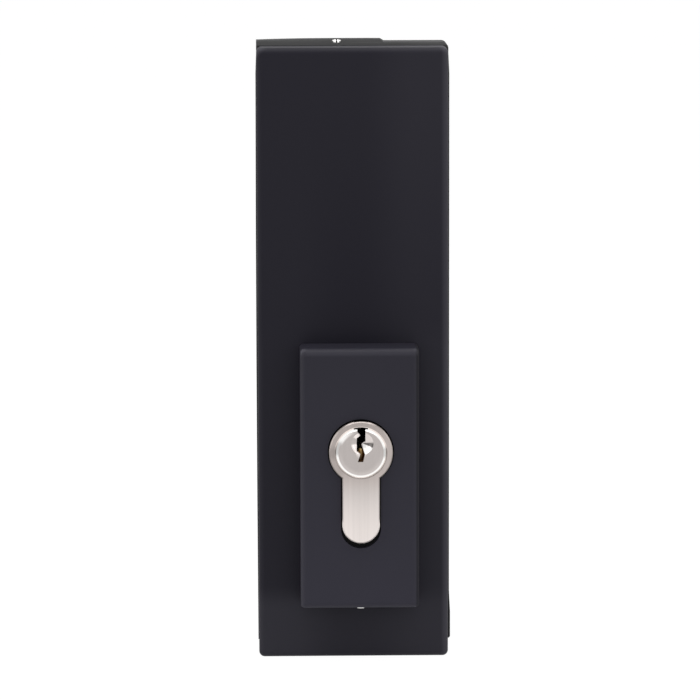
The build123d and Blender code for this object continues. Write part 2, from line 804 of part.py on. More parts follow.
export_step(end_cap.part, "parts/end_cap.step")

with BuildPart() as end_cap_screw:
    with Locations((*cap_screw_place, cap_screw_top_z)):
        add(grub_screw(cap_screw_length, cap_screw_radius, cap_screw_socket_radius))
end_cap_screw.part.label = "end_cap_screw"
export_step(end_cap_screw.part, "parts/end_cap_screw.step")

# Cylinder body: the oval bored for both plugs, cut away for the cam and drilled for the pins
with BuildPart() as cylinder_body:
    with BuildSketch(facing_front(cylinder_half_length)):
        profile_outline(0)
    extrude(amount=2 * cylinder_half_length)
    chamfer(cylinder_body.faces().sort_by(Axis.Y)[0].edges(), length=cylinder_face_chamfer)
    chamfer(cylinder_body.faces().sort_by(Axis.Y)[-1].edges(), length=cylinder_face_chamfer)
    with BuildSketch(facing_front(cylinder_half_length, cylinder_x, cylinder_z)):
        Circle(plug_radius + plug_running_gap)
    extrude(amount=2 * cylinder_half_length, mode=Mode.SUBTRACT)
    with BuildSketch(facing_front(cam_slot_half, cylinder_x, cylinder_z)):
        with Locations((0, -cam_slot_below_axis)):
            Rectangle(
                4 * head_radius, cam_slot_below_axis + 2 * head_radius, align=(Align.CENTER, Align.MIN)
            )
    extrude(amount=2 * cam_slot_half, mode=Mode.SUBTRACT)
    with BuildSketch(Plane.XY.offset(cylinder_z - plug_radius / 2)):
        with Locations(*[(cylinder_x, side * y) for y in pin_ys for side in (-1, 1)]):
            Circle(pin_hole_radius)
    extrude(amount=-profile_height, mode=Mode.SUBTRACT)
    with BuildSketch(facing_bolt_side(cylinder_x - head_radius)):
        with Locations((0, cylinder_screw_z)):
            Circle(cylinder_screw_radius + press_gap)
    extrude(amount=2 * head_radius, mode=Mode.SUBTRACT)
cylinder_body.part.label = "cylinder_body"
export_step(cylinder_body.part, "parts/cylinder_body.step")

# Front plug: a turned barrel with a spigot for the cam, a circlip groove, pin holes and the keyway
plug_end_y = cam_half_width + axial_gap
spigot_end_y = clutch_half + axial_gap
groove_back_y = cam_slot_half - axial_gap
groove_front_y = groove_back_y - circlip_thickness
groove_radius = plug_radius - circlip_groove_depth
keyway_end = plug_radius + 1
with BuildSketch(mode=Mode.PRIVATE) as keyway:
    with BuildLine():
        Polyline((-0.98, keyway_end), (-0.98, 5.7), (-0.36, 5.02))
        ThreePointArc((-0.36, 5.02), (-0.22, 4.75), (-0.36, 4.48))
        Polyline((-0.36, 4.48), (-1.12, 3.9), (-1.12, 0.46), (-0.16, -0.24), (-0.84, -2.43))
        Polyline((-0.84, -2.43), (0.58, -2.43), (1.07, -0.38), (0.25, 1.84))
        ThreePointArc((0.25, 1.84), (0.16, 2.2), (0.34, 2.54))
        Polyline((0.34, 2.54), (1.20, 3.08), (1.20, keyway_end), (-0.98, keyway_end))
    make_face()
with BuildPart() as front_plug:
    with BuildSketch(Plane.XY.offset(cylinder_z)):
        with BuildLine():
            Polyline(
                (cylinder_x, -cylinder_half_length),
                (cylinder_x + plug_radius - plug_chamfer, -cylinder_half_length),
                (cylinder_x + plug_radius, -cylinder_half_length + plug_chamfer / 2),
                (cylinder_x + plug_radius, -groove_back_y),
                (cylinder_x + groove_radius, -groove_back_y),
                (cylinder_x + groove_radius, -groove_front_y),
                (cylinder_x + plug_radius, -groove_front_y),
                (cylinder_x + plug_radius, -plug_end_y),
                (cylinder_x + spigot_radius, -plug_end_y),
                (cylinder_x + spigot_radius, -spigot_end_y),
                (cylinder_x, -spigot_end_y),
                close=True,
            )
        make_face()
    revolve(axis=Axis((cylinder_x, 0, cylinder_z), (0, 1, 0)))
    dimple_place = (
        cylinder_x + plug_dimple_right,
        -cylinder_half_length,
        cylinder_z + plug_dimple_up,
    )
    with Locations(Location(dimple_place, (-90, 0, 0))):
        Cone(
            plug_dimple_radius,
            plug_dimple_radius / 2,
            plug_dimple_depth,
            align=(Align.CENTER, Align.CENTER, Align.MIN),
            mode=Mode.SUBTRACT,
        )
    with BuildSketch(facing_front(0, cylinder_x, cylinder_z)):
        add(keyway.sketch)
    extrude(amount=cylinder_half_length, mode=Mode.SUBTRACT)
    with BuildSketch(facing_front(-cylinder_half_length + shoulder_notch_depth, cylinder_x, cylinder_z)):
        with Locations((shoulder_notch_right, shoulder_notch_up)):
            Rectangle(shoulder_notch_width, shoulder_notch_height)
    extrude(amount=shoulder_notch_depth, mode=Mode.SUBTRACT)
    with BuildSketch(Plane.XY.offset(cylinder_z + key_pin_chamber_up)):
        with Locations(*[(cylinder_x, -y) for y in pin_ys]):
            Circle(pin_hole_radius)
    extrude(amount=-profile_height, mode=Mode.SUBTRACT)
front_plug.part.label = "front_plug"
export_step(front_plug.part, "parts/front_plug.step")

# The rear half of the cylinder is the front half turned round, so that one key fits both
turned_round = Location((2 * cylinder_x, 0, 0), (0, 0, 180))
with BuildPart() as rear_plug:
    with Locations(turned_round):
        add(front_plug.part)
rear_plug.part.label = "rear_plug"
export_step(rear_plug.part, "parts/rear_plug.step")

# Key pins, standing at the shear line as the key holds them
shear_depth = math.sqrt(plug_radius**2 - pin_radius**2) - pin_play
with BuildPart() as front_key_pins:
    for i, y in enumerate(pin_ys):
        length = key_pin_lengths[i % len(key_pin_lengths)]
        with BuildSketch(Plane.XY.offset(cylinder_z - shear_depth)):
            with Locations((cylinder_x, -y)):
                Circle(pin_radius)
        extrude(amount=length - pin_tip_height)
        with Locations((cylinder_x, -y, cylinder_z - shear_depth + length - pin_tip_height)):
            Cone(
                pin_radius,
                pin_tip_radius,
                pin_tip_height,
                align=(Align.CENTER, Align.CENTER, Align.MIN),
            )
front_key_pins.part.label = "front_key_pins"
export_step(front_key_pins.part, "parts/front_key_pins.step")

with BuildPart() as rear_key_pins:
    with Locations(turned_round):
        add(front_key_pins.part)
rear_key_pins.part.label = "rear_key_pins"
export_step(rear_key_pins.part, "parts/rear_key_pins.step")

# Driver pins, their springs and the plugs that close the chambers, in both halves
chamber_places = [(cylinder_x, side * y) for y in pin_ys for side in (-1, 1)]
driver_top_z = cylinder_z - plug_radius - plug_running_gap - pin_play
spring_top_z = driver_top_z - driver_pin_length - pin_play
chamber_plug_top_z = web_bottom_z + chamber_plug_inset + chamber_plug_length
with BuildPart() as driver_pins:
    with BuildSketch(Plane.XY.offset(driver_top_z)):
        with Locations(*chamber_places):
            Circle(pin_radius)
    extrude(amount=-driver_pin_length)
driver_pins.part.label = "driver_pins"
export_step(driver_pins.part, "parts/driver_pins.step")

with BuildPart() as pin_springs:
    with BuildSketch(Plane.XY.offset(spring_top_z)):
        with Locations(*chamber_places):
            Circle(pin_radius)
            Circle(pin_radius - spring_wire, mode=Mode.SUBTRACT)
    extrude(amount=chamber_plug_top_z + pin_play - spring_top_z)
pin_springs.part.label = "pin_springs"
export_step(pin_springs.part, "parts/pin_springs.step")

with BuildPart() as chamber_plugs:
    with BuildSketch(Plane.XY.offset(chamber_plug_top_z)):
        with Locations(*chamber_places):
            Circle(pin_hole_radius - press_gap)
    extrude(amount=-chamber_plug_length)
chamber_plugs.part.label = "chamber_plugs"
export_step(chamber_plugs.part, "parts/chamber_plugs.step")

# Circlips, open rings that hold the plugs in from the cam slot
with BuildPart() as front_circlip:
    with BuildSketch(facing_front(-groove_front_y, cylinder_x, cylinder_z)):
        Circle(circlip_radius)
        Circle(groove_radius + press_gap, mode=Mode.SUBTRACT)
        with Locations((0, -circlip_radius)):
            Rectangle(circlip_opening, circlip_radius, mode=Mode.SUBTRACT)
    extrude(amount=circlip_thickness)
front_circlip.part.label = "front_circlip"
export_step(front_circlip.part, "parts/front_circlip.step")

with BuildPart() as rear_circlip:
    with Locations(turned_round):
        add(front_circlip.part)
rear_circlip.part.label = "rear_circlip"
export_step(rear_circlip.part, "parts/rear_circlip.step")

# Cam gear, which turns on the spigots of both plugs
with BuildPart() as cam_gear:
    with BuildSketch(facing_front(cam_half_width, cylinder_x, cylinder_z)):
        gear_outline(cam_teeth, cam_module, mesh_angle)
        Circle(spigot_radius + gear_running_gap, mode=Mode.SUBTRACT)
        Rectangle(
            2 * clutch_ear_reach + 2 * axial_gap, clutch_ear_width + 2 * axial_gap, mode=Mode.SUBTRACT
        )
    extrude(amount=2 * cam_half_width)
cam_gear.part.label = "cam_gear"
export_step(cam_gear.part, "parts/cam_gear.step")

# Clutch, which joins the cam to the front plug
with BuildPart() as clutch:
    with BuildSketch(facing_front(clutch_half, cylinder_x, cylinder_z)):
        Circle(spigot_radius)
        Rectangle(2 * clutch_ear_reach, clutch_ear_width)
    extrude(amount=2 * clutch_half)
    with BuildSketch(facing_front(-clutch_half, cylinder_x, cylinder_z)):
        with Locations((-clutch_tang_left, clutch_tang_up)):
            Rectangle(clutch_tang_width, clutch_tang_height)
    extrude(amount=clutch_tang_length)
clutch.part.label = "clutch"
export_step(clutch.part, "parts/clutch.step")

# Wheel driven by the cam gear, with round windows
wheel_back_y = wheel_front_y + wheel_thickness
with BuildPart() as drive_wheel:
    with BuildSketch(facing_front(wheel_back_y, wheel_x, wheel_z)):
        gear_outline(wheel_teeth, cam_module, mesh_angle + 180 + 180 / wheel_teeth)
        Circle(wheel_hub_radius + press_gap, mode=Mode.SUBTRACT)
        with PolarLocations((pitch_wheel + wheel_hub_radius) / 2, wheel_window_count):
            Circle(wheel_window_radius, mode=Mode.SUBTRACT)
    extrude(amount=wheel_thickness)
drive_wheel.part.label = "drive_wheel"
export_step(drive_wheel.part, "parts/drive_wheel.step")

# Pinion pressed into the wheel, in mesh with the bolt's rack
with BuildPart() as bolt_pinion:
    with BuildSketch(facing_front(wheel_front_y, wheel_x, wheel_z)):
        gear_outline(pinion_teeth, pinion_module, 90)
    extrude(amount=wheel_front_y - pinion_front_y)
    with BuildSketch(facing_front(wheel_back_y, wheel_x, wheel_z)):
        Circle(wheel_hub_radius)
    extrude(amount=wheel_thickness)
    with BuildSketch(facing_front(wheel_back_y, wheel_x, wheel_z)):
        Circle(gear_axle_radius + gear_running_gap)
    extrude(amount=wheel_back_y - pinion_front_y, mode=Mode.SUBTRACT)
bolt_pinion.part.label = "bolt_pinion"
export_step(bolt_pinion.part, "parts/bolt_pinion.step")

with BuildPart() as gear_axle:
    with BuildSketch(facing_front(gap_half - axial_gap, wheel_x, wheel_z)):
        Circle(gear_axle_radius)
    extrude(amount=2 * (gap_half - axial_gap))
gear_axle.part.label = "gear_axle"
export_step(gear_axle.part, "parts/gear_axle.step")

# Deadbolt: the head block with a thinner arm below it that carries the rack
rack_pitch = math.pi * pinion_module
rack_right_x = wheel_x + rack_reach
rack_tip_z = rack_pitch_z - addendum_factor * pinion_module
rack_root_z = rack_pitch_z + dedendum_factor * pinion_module
half_tooth = rack_pitch / 4 - tooth_thinning / 2
half_tip = half_tooth - addendum_factor * pinion_module * math.tan(pressure_angle)
half_root = half_tooth + dedendum_factor * pinion_module * math.tan(pressure_angle)
first_tooth = math.ceil((bolt_tail_x + half_root - wheel_x) / rack_pitch - 0.5)
last_tooth = math.floor((rack_right_x - half_root - wheel_x) / rack_pitch - 0.5)
rack_tooth_xs = [wheel_x + (i + 0.5) * rack_pitch for i in range(first_tooth, last_tooth + 1)]
with BuildPart() as deadbolt:
    with BuildSketch(facing_front(bolt_thickness / 2)):
        with Locations(((bolt_tail_x + bolt_nose_x) / 2, bolt_middle_z)):
            Rectangle(bolt_nose_x - bolt_tail_x, bolt_height)
    extrude(amount=bolt_thickness)
    chamfer(deadbolt.faces().sort_by(Axis.X)[-1].edges(), length=bolt_edge_chamfer)
    with BuildSketch(facing_front(rack_arm_back_y)):
        with Locations(((bolt_tail_x + rack_right_x) / 2, rack_root_z)):
            Rectangle(
                rack_right_x - bolt_tail_x,
                bolt_bottom_z + bolt_edge_chamfer - rack_root_z,
                align=(Align.CENTER, Align.MIN),
            )
        for x in rack_tooth_xs:
            with BuildLine():
                Polyline(
                    (x - half_root, rack_root_z),
                    (x - half_tip, rack_tip_z),
                    (x + half_tip, rack_tip_z),
                    (x + half_root, rack_root_z),
                    close=True,
                )
            make_face()
    extrude(amount=rack_arm_back_y - rack_arm_front_y)
deadbolt.part.label = "deadbolt"
export_step(deadbolt.part, "parts/deadbolt.step")
print("bolt throw", round(bolt_throw, 3), "wheel at", round(wheel_x, 3), round(wheel_z, 3))
print("bolt from", round(bolt_bottom_z, 3), "to", round(bolt_top_z, 3), "rack teeth", len(rack_tooth_xs))
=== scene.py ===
import json
import math

import bmesh
import bpy
from mathutils import Matrix, Vector


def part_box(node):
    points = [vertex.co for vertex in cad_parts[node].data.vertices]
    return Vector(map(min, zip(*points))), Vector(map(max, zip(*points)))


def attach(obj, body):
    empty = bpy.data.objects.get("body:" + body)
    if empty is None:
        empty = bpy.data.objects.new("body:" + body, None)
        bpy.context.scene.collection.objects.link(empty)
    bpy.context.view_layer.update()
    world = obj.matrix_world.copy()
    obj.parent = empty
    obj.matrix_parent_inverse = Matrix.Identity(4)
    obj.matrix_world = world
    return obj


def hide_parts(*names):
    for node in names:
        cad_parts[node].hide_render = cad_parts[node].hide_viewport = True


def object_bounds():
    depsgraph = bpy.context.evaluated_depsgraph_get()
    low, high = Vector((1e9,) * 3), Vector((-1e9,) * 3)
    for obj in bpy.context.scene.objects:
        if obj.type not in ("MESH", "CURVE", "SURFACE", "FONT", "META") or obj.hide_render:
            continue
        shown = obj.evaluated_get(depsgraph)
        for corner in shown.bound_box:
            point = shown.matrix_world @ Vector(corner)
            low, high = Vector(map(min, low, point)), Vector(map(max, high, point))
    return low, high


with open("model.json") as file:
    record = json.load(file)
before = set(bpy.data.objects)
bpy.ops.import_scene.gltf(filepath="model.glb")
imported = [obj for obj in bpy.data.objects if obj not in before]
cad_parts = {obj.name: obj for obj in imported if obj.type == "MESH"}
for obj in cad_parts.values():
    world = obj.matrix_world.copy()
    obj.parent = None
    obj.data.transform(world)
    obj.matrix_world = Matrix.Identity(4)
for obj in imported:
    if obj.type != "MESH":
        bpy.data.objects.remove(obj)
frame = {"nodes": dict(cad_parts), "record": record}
cadLow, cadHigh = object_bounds()
nodes = frame["nodes"]
mm = 0.001


class Wire:
    # A socket in a node tree. Sums written with it add Math nodes.
    def __init__(self, tree, socket=None):
        self.tree = tree
        self.socket = socket

    def node(self, kind, settings=None, inputs=None, out=0):
        made = self.tree.nodes.new(kind)
        for name, value in (settings or {}).items():
            setattr(made, name, value)
        for name, value in (inputs or {}).items():
            if isinstance(value, Wire):
                self.tree.links.new(value.socket, made.inputs[name])
            else:
                made.inputs[name].default_value = value
        return Wire(self.tree, made.outputs[out])

    def maths(self, operation, first, second=0.0):
        return self.node("ShaderNodeMath", {"operation": operation}, {0: first, 1: second})

    def vector(self, operation, inputs):
        return self.node("ShaderNodeVectorMath", {"operation": operation}, inputs)

    def __add__(self, other):
        return self.maths("ADD", self, other)

    def __radd__(self, other):
        return self.maths("ADD", other, self)

    def __sub__(self, other):
        return self.maths("SUBTRACT", self, other)

    def __rsub__(self, other):
        return self.maths("SUBTRACT", other, self)

    def __mul__(self, other):
        return self.maths("MULTIPLY", self, other)

    def __rmul__(self, other):
        return self.maths("MULTIPLY", other, self)

    def __truediv__(self, other):
        return self.maths("DIVIDE", self, other)

    def __pow__(self, other):
        return self.maths("POWER", self, other)

    def __gt__(self, other):
        return self.maths("GREATER_THAN", self, other)

    def __lt__(self, other):
        return self.maths("LESS_THAN", self, other)

    def __abs__(self):
        return self.maths("ABSOLUTE", self)

    def orMore(self, other):
        # The larger of two values
        return self.maths("MAXIMUM", self, other)

    def ease(self, low, high):
        # 0 below low, 1 above high, a soft step between
        return self.node(
            "ShaderNodeMapRange",
            {"interpolation_type": "SMOOTHSTEP"},
            {"Value": self, "From Min": low, "From Max": high},
        )

    def nearing(self, side, far, near):
        # 0 further than far below a side, 1 within near of it and beyond
        return self.ease(side - far, side - near)

    def step(self, place, width, low=0.0, high=1.0):
        # From low to high in a soft step round a place
        return low + (high - low) * self.ease(place - width / 2, place + width / 2)

    def hump(self, low, high, soft):
        # 1 between two places, 0 outside
        return self.ease(low - soft, low + soft) * (1 - self.ease(high - soft, high + soft))

    def between(self, first, second):
        # Mixes two values by this factor
        return (1 - self) * first + self * second

    def blend(self, first, second):
        # Mixes two colours by this factor
        return self.node(
            "ShaderNodeMix", {"data_type": "RGBA"}, {"Factor": self, 6: first, 7: second}, out=2
        )

    def tinted(self, tone):
        # This value times a colour
        return self.vector("SCALE", {0: tone, "Scale": self})

    def plus(self, other):
        # The sum of two colours
        return self.vector("ADD", {0: self, 1: other})

    def axis(self, name):
        return self.node("ShaderNodeSeparateXYZ", None, {0: self}, out="XYZ".index(name))

    def stretched(self, scale):
        return self.vector("MULTIPLY", {0: self, 1: scale})

    def noise(self, scale, detail=2.0, roughness=0.5):
        return self.node(
            "ShaderNodeTexNoise",
            None,
            {"Vector": self, "Scale": scale, "Detail": detail, "Roughness": roughness},
        )

    def bump(self, distance, strength, normal=None):
        inputs = {"Height": self, "Distance": distance, "Strength": strength}
        if normal is not None:
            inputs["Normal"] = normal
        return self.node("ShaderNodeBump", None, inputs)


def distance(first, second):
    return (first * first + second * second) ** 0.5


def newFinish(name, build, **fixed):
    # build(place) returns what changes over the surface.
    # Fixed values go on the shader's own sockets.
    material = bpy.data.materials.new(name)
    material.use_nodes = True
    tree = material.node_tree
    shader = tree.nodes["Principled BSDF"]
    for socket, value in fixed.items():
        shader.inputs[socket].default_value = value
    place = Wire(tree).node("ShaderNodeTexCoord", out="Object")
    for socket, value in build(place).items():
        tree.links.new(value.socket, shader.inputs[socket])
    return material


# Noise scales are per metre, and reliefs are heights in metres

coat = {
    "index": 1.25,
    "cloudScale": 24,
    "cloudDepth": 0.15,
    "peelScale": 1500,
    "peelRelief": 0.02 * mm,
    "grainScale": 6500,
    "grainRelief": 0.006 * mm,
    "peelStrength": 0.35,
    "grainStrength": 0.3,
    "paintedLightTone": (1.0, 0.975, 1.12),
}


def coatFinish(name, tone, gloss, spread=None, paintedLight=None, dull=None):
    # Fine powder coat: a faint cloud in the tone and a very low orange peel.
    # spread changes the tone's depth over a piece and the next argument adds a pale grey to it,
    # both used for painted light and shade; dull roughens it.
    def build(place):
        cloud = place.noise(coat["cloudScale"], detail=3)
        peel = place.noise(coat["peelScale"], detail=2)
        grain = place.noise(coat["grainScale"], detail=1)
        depth = 1 + coat["cloudDepth"] * (cloud - 0.5)
        if spread is not None:
            depth = depth * spread(place)
        paint = depth.tinted(tone)
        if paintedLight is not None:
            paint = paint.plus(paintedLight(place).tinted(coat["paintedLightTone"]))
        rough = gloss + 0.05 * (cloud - 0.5) + 0.06 * (grain - 0.5)
        if dull is not None:
            rough = rough + dull(place)
        fine = grain.bump(coat["grainRelief"], coat["grainStrength"])
        return {
            "Base Color": paint,
            "Roughness": rough,
            "Normal": peel.bump(coat["peelRelief"], coat["peelStrength"], fine),
        }

    return newFinish(name, build, IOR=coat["index"])


brush = {"across": 900, "along": 15, "broader": 7, "cloudScale": 60, "relief": 0.01 * mm}


def brushedFinish(name, tone, along, gloss, streak, strength):
    # Metal with straight brush lines along one axis
    stretch = [brush["across"]] * 3
    stretch["XYZ".index(along)] = brush["along"]
    wide = [value / brush["broader"] for value in stretch]

    def build(place):
        fine = place.stretched(stretch).noise(1.0, detail=3, roughness=0.6)
        broad = place.stretched(wide).noise(1.0, detail=2)
        cloud = place.noise(brush["cloudScale"], detail=2)
        shade = 1 - streak * (fine - 0.5) - 0.6 * streak * (broad - 0.5)
        return {
            "Base Color": shade.blend((0, 0, 0, 1), (*tone, 1)),
            "Roughness": gloss + 0.25 * streak * (fine - 0.5) + 0.05 * (cloud - 0.5),
            "Normal": fine.bump(brush["relief"], strength),
        }

    return newFinish(name, build, Metallic=1.0)


turning = {"grainScale": 9000, "stainScale": 160, "relief": 0.006 * mm, "strength": 0.25}


def turnedFinish(name, tone, gloss):
    # Turned or drawn metal: a fine grain with soft stains
    def build(place):
        grain = place.noise(turning["grainScale"], detail=2)
        stain = place.noise(turning["stainScale"], detail=3)
        shade = 1 - 0.12 * (grain - 0.5) - 0.25 * (stain - 0.5)
        return {
            "Base Color": shade.blend((0, 0, 0, 1), (*tone, 1)),
            "Roughness": gloss + 0.12 * (stain - 0.5),
            "Normal": grain.bump(turning["relief"], turning["strength"]),
        }

    return newFinish(name, build, Metallic=1.0)


moulding = {"cloudScale": 70, "cloudSpan": (0.3, 0.7), "strength": 0.4}


def mouldedFinish(name, deep, pale, gloss, scale, relief, spread=None, index=1.4):
    # Moulded rubber or plastic with a spark-eroded texture
    def build(place):
        skin = place.noise(scale, detail=2)
        cloud = place.noise(moulding["cloudScale"], detail=2)
        paint = cloud.ease(*moulding["cloudSpan"]).blend((*deep, 1), (*pale, 1))
        if spread is not None:
            paint = spread(place).tinted(paint)
        return {
            "Base Color": paint,
            "Roughness": gloss + 0.15 * (skin - 0.5),
            "Normal": skin.bump(relief, moulding["strength"]),
        }

    return newFinish(name, build, IOR=index)


# The boxes and the cylinder's axis, from which the finishes measure

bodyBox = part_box("cylinder_body")
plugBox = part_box("front_plug")
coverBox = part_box("front_cover")
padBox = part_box("front_pad")
axisX = (plugBox[0].x + plugBox[1].x) / 2
axisZ = bodyBox[1].z - (bodyBox[1].x - bodyBox[0].x) / 2


def fromAxis(place):
    # Right of the cylinder's axis, above it, and deep below its end faces, all in millimetres
    right = (place.axis("X") - axisX) / mm
    above = (place.axis("Z") - axisZ) / mm
    deep = (bodyBox[1].y - abs(place.axis("Y"))) / mm
    return right, above, deep


def onFront(place, box):
    # 1 on the outer face and the front of its rounding, on both sides of the lock
    face = max(abs(box[0].y), abs(box[1].y))
    return abs(place.axis("Y")).nearing(face, 1.5 * mm, 0.8 * mm)


def cornerHighlight(place, box, radius):
    # 0 inside a rounded outline of the box's front, up to 1 in its corners, where painted
    # highlights go
    beyond = []
    for name, low, high in (("X", box[0].x, box[1].x), ("Z", box[0].z, box[1].z)):
        off = abs(place.axis(name) - (low + high) / 2) - ((high - low) / 2 - radius)
        beyond.append(off.orMore(0))
    return distance(*beyond).ease(0.98 * radius, 1.3 * radius) * onFront(place, box)


# How far and how strongly painted light pales the covers' coat
paintedCoverLight = {
    "halfWidth": 17 * mm,
    "head": (10 * mm, 76 * mm),
    "foot": (padBox[0].z - 2 * mm, padBox[0].z + 5 * mm),
    "beside": (padBox[1].z - 4 * mm, padBox[1].z + 8 * mm),
    "rightRounding": (2.2 * mm, 0.9 * mm),
    "rightFlank": (0.3 * mm, 0.05 * mm),
    "cornerRadius": 5 * mm,
    "right": 0.0045,
    "rightBesidePad": 0.004,
    "left": 0.0028,
    "leftBesidePad": 0.001,
    "edge": 0.016,
    "corner": 0.020,
    "cornerLeft": 0.016,
    "headPaintedLight": 0.0035,
    "headRight": 0.001,
    "footPaintedLight": 0.0085,
    "footLeft": 0.004,
    "footRight": 0.003,
}


def coverPaintedLight(place):
    # Painted light: the coat is paler towards its sides, the head and the foot, with painted
    # highlights on the right edge's rounding and in the corners
    shading = paintedCoverLight
    across = place.axis("X")
    up = place.axis("Z")
    side = (across - (coverBox[0].x + coverBox[1].x) / 2) / shading["halfWidth"]
    right = side.ease(0.1, 1.0)
    left = (0 - side).ease(0.1, 1.0)
    head = up.ease(*shading["head"])
    foot = 1 - up.ease(*shading["foot"])
    beside = 1 - up.ease(*shading["beside"])
    flank = across.nearing(coverBox[1].x, *shading["rightFlank"])
    edge = across.nearing(coverBox[1].x, *shading["rightRounding"]) * (1 - 0.8 * flank)
    sides = right * (shading["right"] + shading["rightBesidePad"] * beside)
    sides = sides + left * (shading["left"] + shading["leftBesidePad"] * beside) * (1 - head)
    corner = shading["corner"] + shading["cornerLeft"] * left
    corner = cornerHighlight(place, coverBox, shading["cornerRadius"]) * head * corner
    ends = head * (shading["headPaintedLight"] + shading["headRight"] * right)
    ends = ends + foot * (shading["footPaintedLight"] + shading["footLeft"] * left - shading["footRight"] * right)
    return sides + shading["edge"] * edge + corner + ends


paintedCapLight = {"boltEnd": (20 * mm, 33 * mm), "gain": 0.45}


def capPaintedLight(place):
    # Painted light: paler towards its bolt end
    return 1 + paintedCapLight["gain"] * place.axis("X").ease(*paintedCapLight["boltEnd"])


# Painted light and shade on the pads' coat, and how much rougher their bolt side's rounding is
paintedPadLight = {
    "rounding": (1.1 * mm, 0.4 * mm),
    "flank": (0.05 * mm, 0.01 * mm),
    "roundingShade": 0.6,
    "roundingDull": 0.3,
    "headTone": 0.88,
    "footGain": 0.34,
    "leftSpan": (padBox[0].x + 8 * mm, padBox[1].x - 8 * mm),
    "headSpan": (padBox[0].z + 20 * mm, padBox[1].z - 20 * mm),
    "browSpan": (2.4 * mm, 1.4 * mm),
    "brow": 0.010,
    "cornerRadius": 4 * mm,
    "corner": 0.006,
    "cornerHead": 0.012,
    "cornerUpperLeft": 0.022,
}


def padRounding(place):
    # 1 on the last of the rounding at the pad's bolt side
    across = place.axis("X")
    flank = across.nearing(padBox[1].x, *paintedPadLight["flank"])
    return across.nearing(padBox[1].x, *paintedPadLight["rounding"]) * (1 - flank)


def padPaintedLightAndShade(place):
    # Painted light and shade: paler towards the foot, with painted shade on the bolt side's
    # rounding
    down = (padBox[1].z - place.axis("Z")) / (padBox[1].z - padBox[0].z)
    rounding = 1 - paintedPadLight["roundingShade"] * padRounding(place)
    return rounding * (paintedPadLight["headTone"] + paintedPadLight["footGain"] * down)


def padDull(place):
    return paintedPadLight["roundingDull"] * padRounding(place)


def padPaintedHighlights(place):
    # Painted highlights: the upper edge and the corners are a little paler, most at the upper left
    up = place.axis("Z")
    left = 1 - place.axis("X").ease(*paintedPadLight["leftSpan"])
    head = up.ease(*paintedPadLight["headSpan"])
    brow = up.nearing(padBox[1].z, *paintedPadLight["browSpan"]) * onFront(place, padBox)
    corner = paintedPadLight["cornerHead"] + paintedPadLight["cornerUpperLeft"] * left
    corner = paintedPadLight["corner"] + head * corner
    return paintedPadLight["brow"] * brow + cornerHighlight(place, padBox, paintedPadLight["cornerRadius"]) * corner


# Places on the cylinder's ends are in millimetres from its axis

# Painted shade darkens the keyway below the first given depths, and a painted glint of brass lies
# deeper in it
keyway = {"half": 1.32, "shadowDepth": (0.75, 1.2), "glintDeep": 0.9, "glintRadius": 3.2}
crossNotch = {"above": 6.2, "deep": 0.2, "bodyHalf": 1.8, "plugHalf": 1.9}


def inNotch(right, above, deep, half):
    return (above > crossNotch["above"]) * (abs(right) < half) * (deep > crossNotch["deep"])


# Painted light and shade on the cylinder's face, with its brushing and gloss
web = {
    "fine": (1400, 1400, 18),
    "broad": (320, 320, 5),
    "footStart": -5,
    "level": 0.425,
    "footRise": 0.036,
    "footFall": 0.00085,
    "flank": 0.09,
    "crown": 0.02,
    "cheek": 0.06,
    "bevelHead": 0.30,
    "bevelFoot": 0.85,
    "bore": (7.0, 7.1),
    "boreFoot": 0.40,
    "boreRise": 0.55,
    "fineStreak": 0.18,
    "broadStreak": 0.22,
    "notchShade": 0.95,
    "footTone": (1, 0.918, 0.88, 1),
    "headTone": (1, 0.885, 0.835, 1),
    "gloss": 0.30,
    "relief": 0.01 * mm,
    "strength": 0.3,
}


def webNickel(place):
    # Satin nickel brushed upright, with painted light and shade: paler towards the foot of the web,
    # darker on the head's left and top, paler on its right.
    # The bevel round the head has painted shade, paler at its foot, the bore a painted highlight
    # where it meets the plug, and the cross notch painted shade.
    right, above, deep = fromAxis(place)
    fine = place.stretched(web["fine"]).noise(1.0, detail=3, roughness=0.6)
    broad = place.stretched(web["broad"]).noise(1.0, detail=2)
    cloud = place.noise(brush["cloudScale"], detail=2)
    foot = (web["footStart"] - above).orMore(0)
    flank = right.step(-6.2, 1.5, 1, 0) * above.hump(-1.6, 1.6, 1.0)
    crown = above.ease(3.5, 7.5)
    cheek = right.ease(1, 6) * (1 - above.ease(1, 6)) * above.ease(-8, -5)
    bevel = deep.ease(0.03, 0.08)
    bore = 1 - distance(right, above).ease(*web["bore"])
    level = web["level"] + web["footRise"] * foot - web["footFall"] * foot * foot
    level = level - web["flank"] * flank - web["crown"] * crown + web["cheek"] * cheek
    level = bevel.between(level, above.step(-18.5, 2.0, web["bevelFoot"], web["bevelHead"]))
    level = bore.between(level, web["boreFoot"] + web["boreRise"] * above.ease(0.5, 2.5))
    streaks = 1 - web["fineStreak"] * (fine - 0.5) - web["broadStreak"] * (broad - 0.5)
    notch = inNotch(right, above, deep, crossNotch["bodyHalf"])
    shade = level * streaks * (1 - web["notchShade"] * notch)
    tone = above.ease(-12, -5).blend(web["footTone"], web["headTone"])
    return {
        "Base Color": shade.tinted(tone),
        "Roughness": web["gloss"] + 0.05 * (fine - 0.5) + 0.05 * (cloud - 0.5),
        "Normal": fine.bump(web["relief"], web["strength"]),
    }


# Painted highlights and painted shade on the dimple's walls
dimple = {
    "right": 0.37,
    "up": 2.5,
    "radius": 3.0,
    "wall": 0.50,
    "lit": 0.47,
    "dark": 0.37,
    "arc": 0.38,
    "crest": 0.40,
}


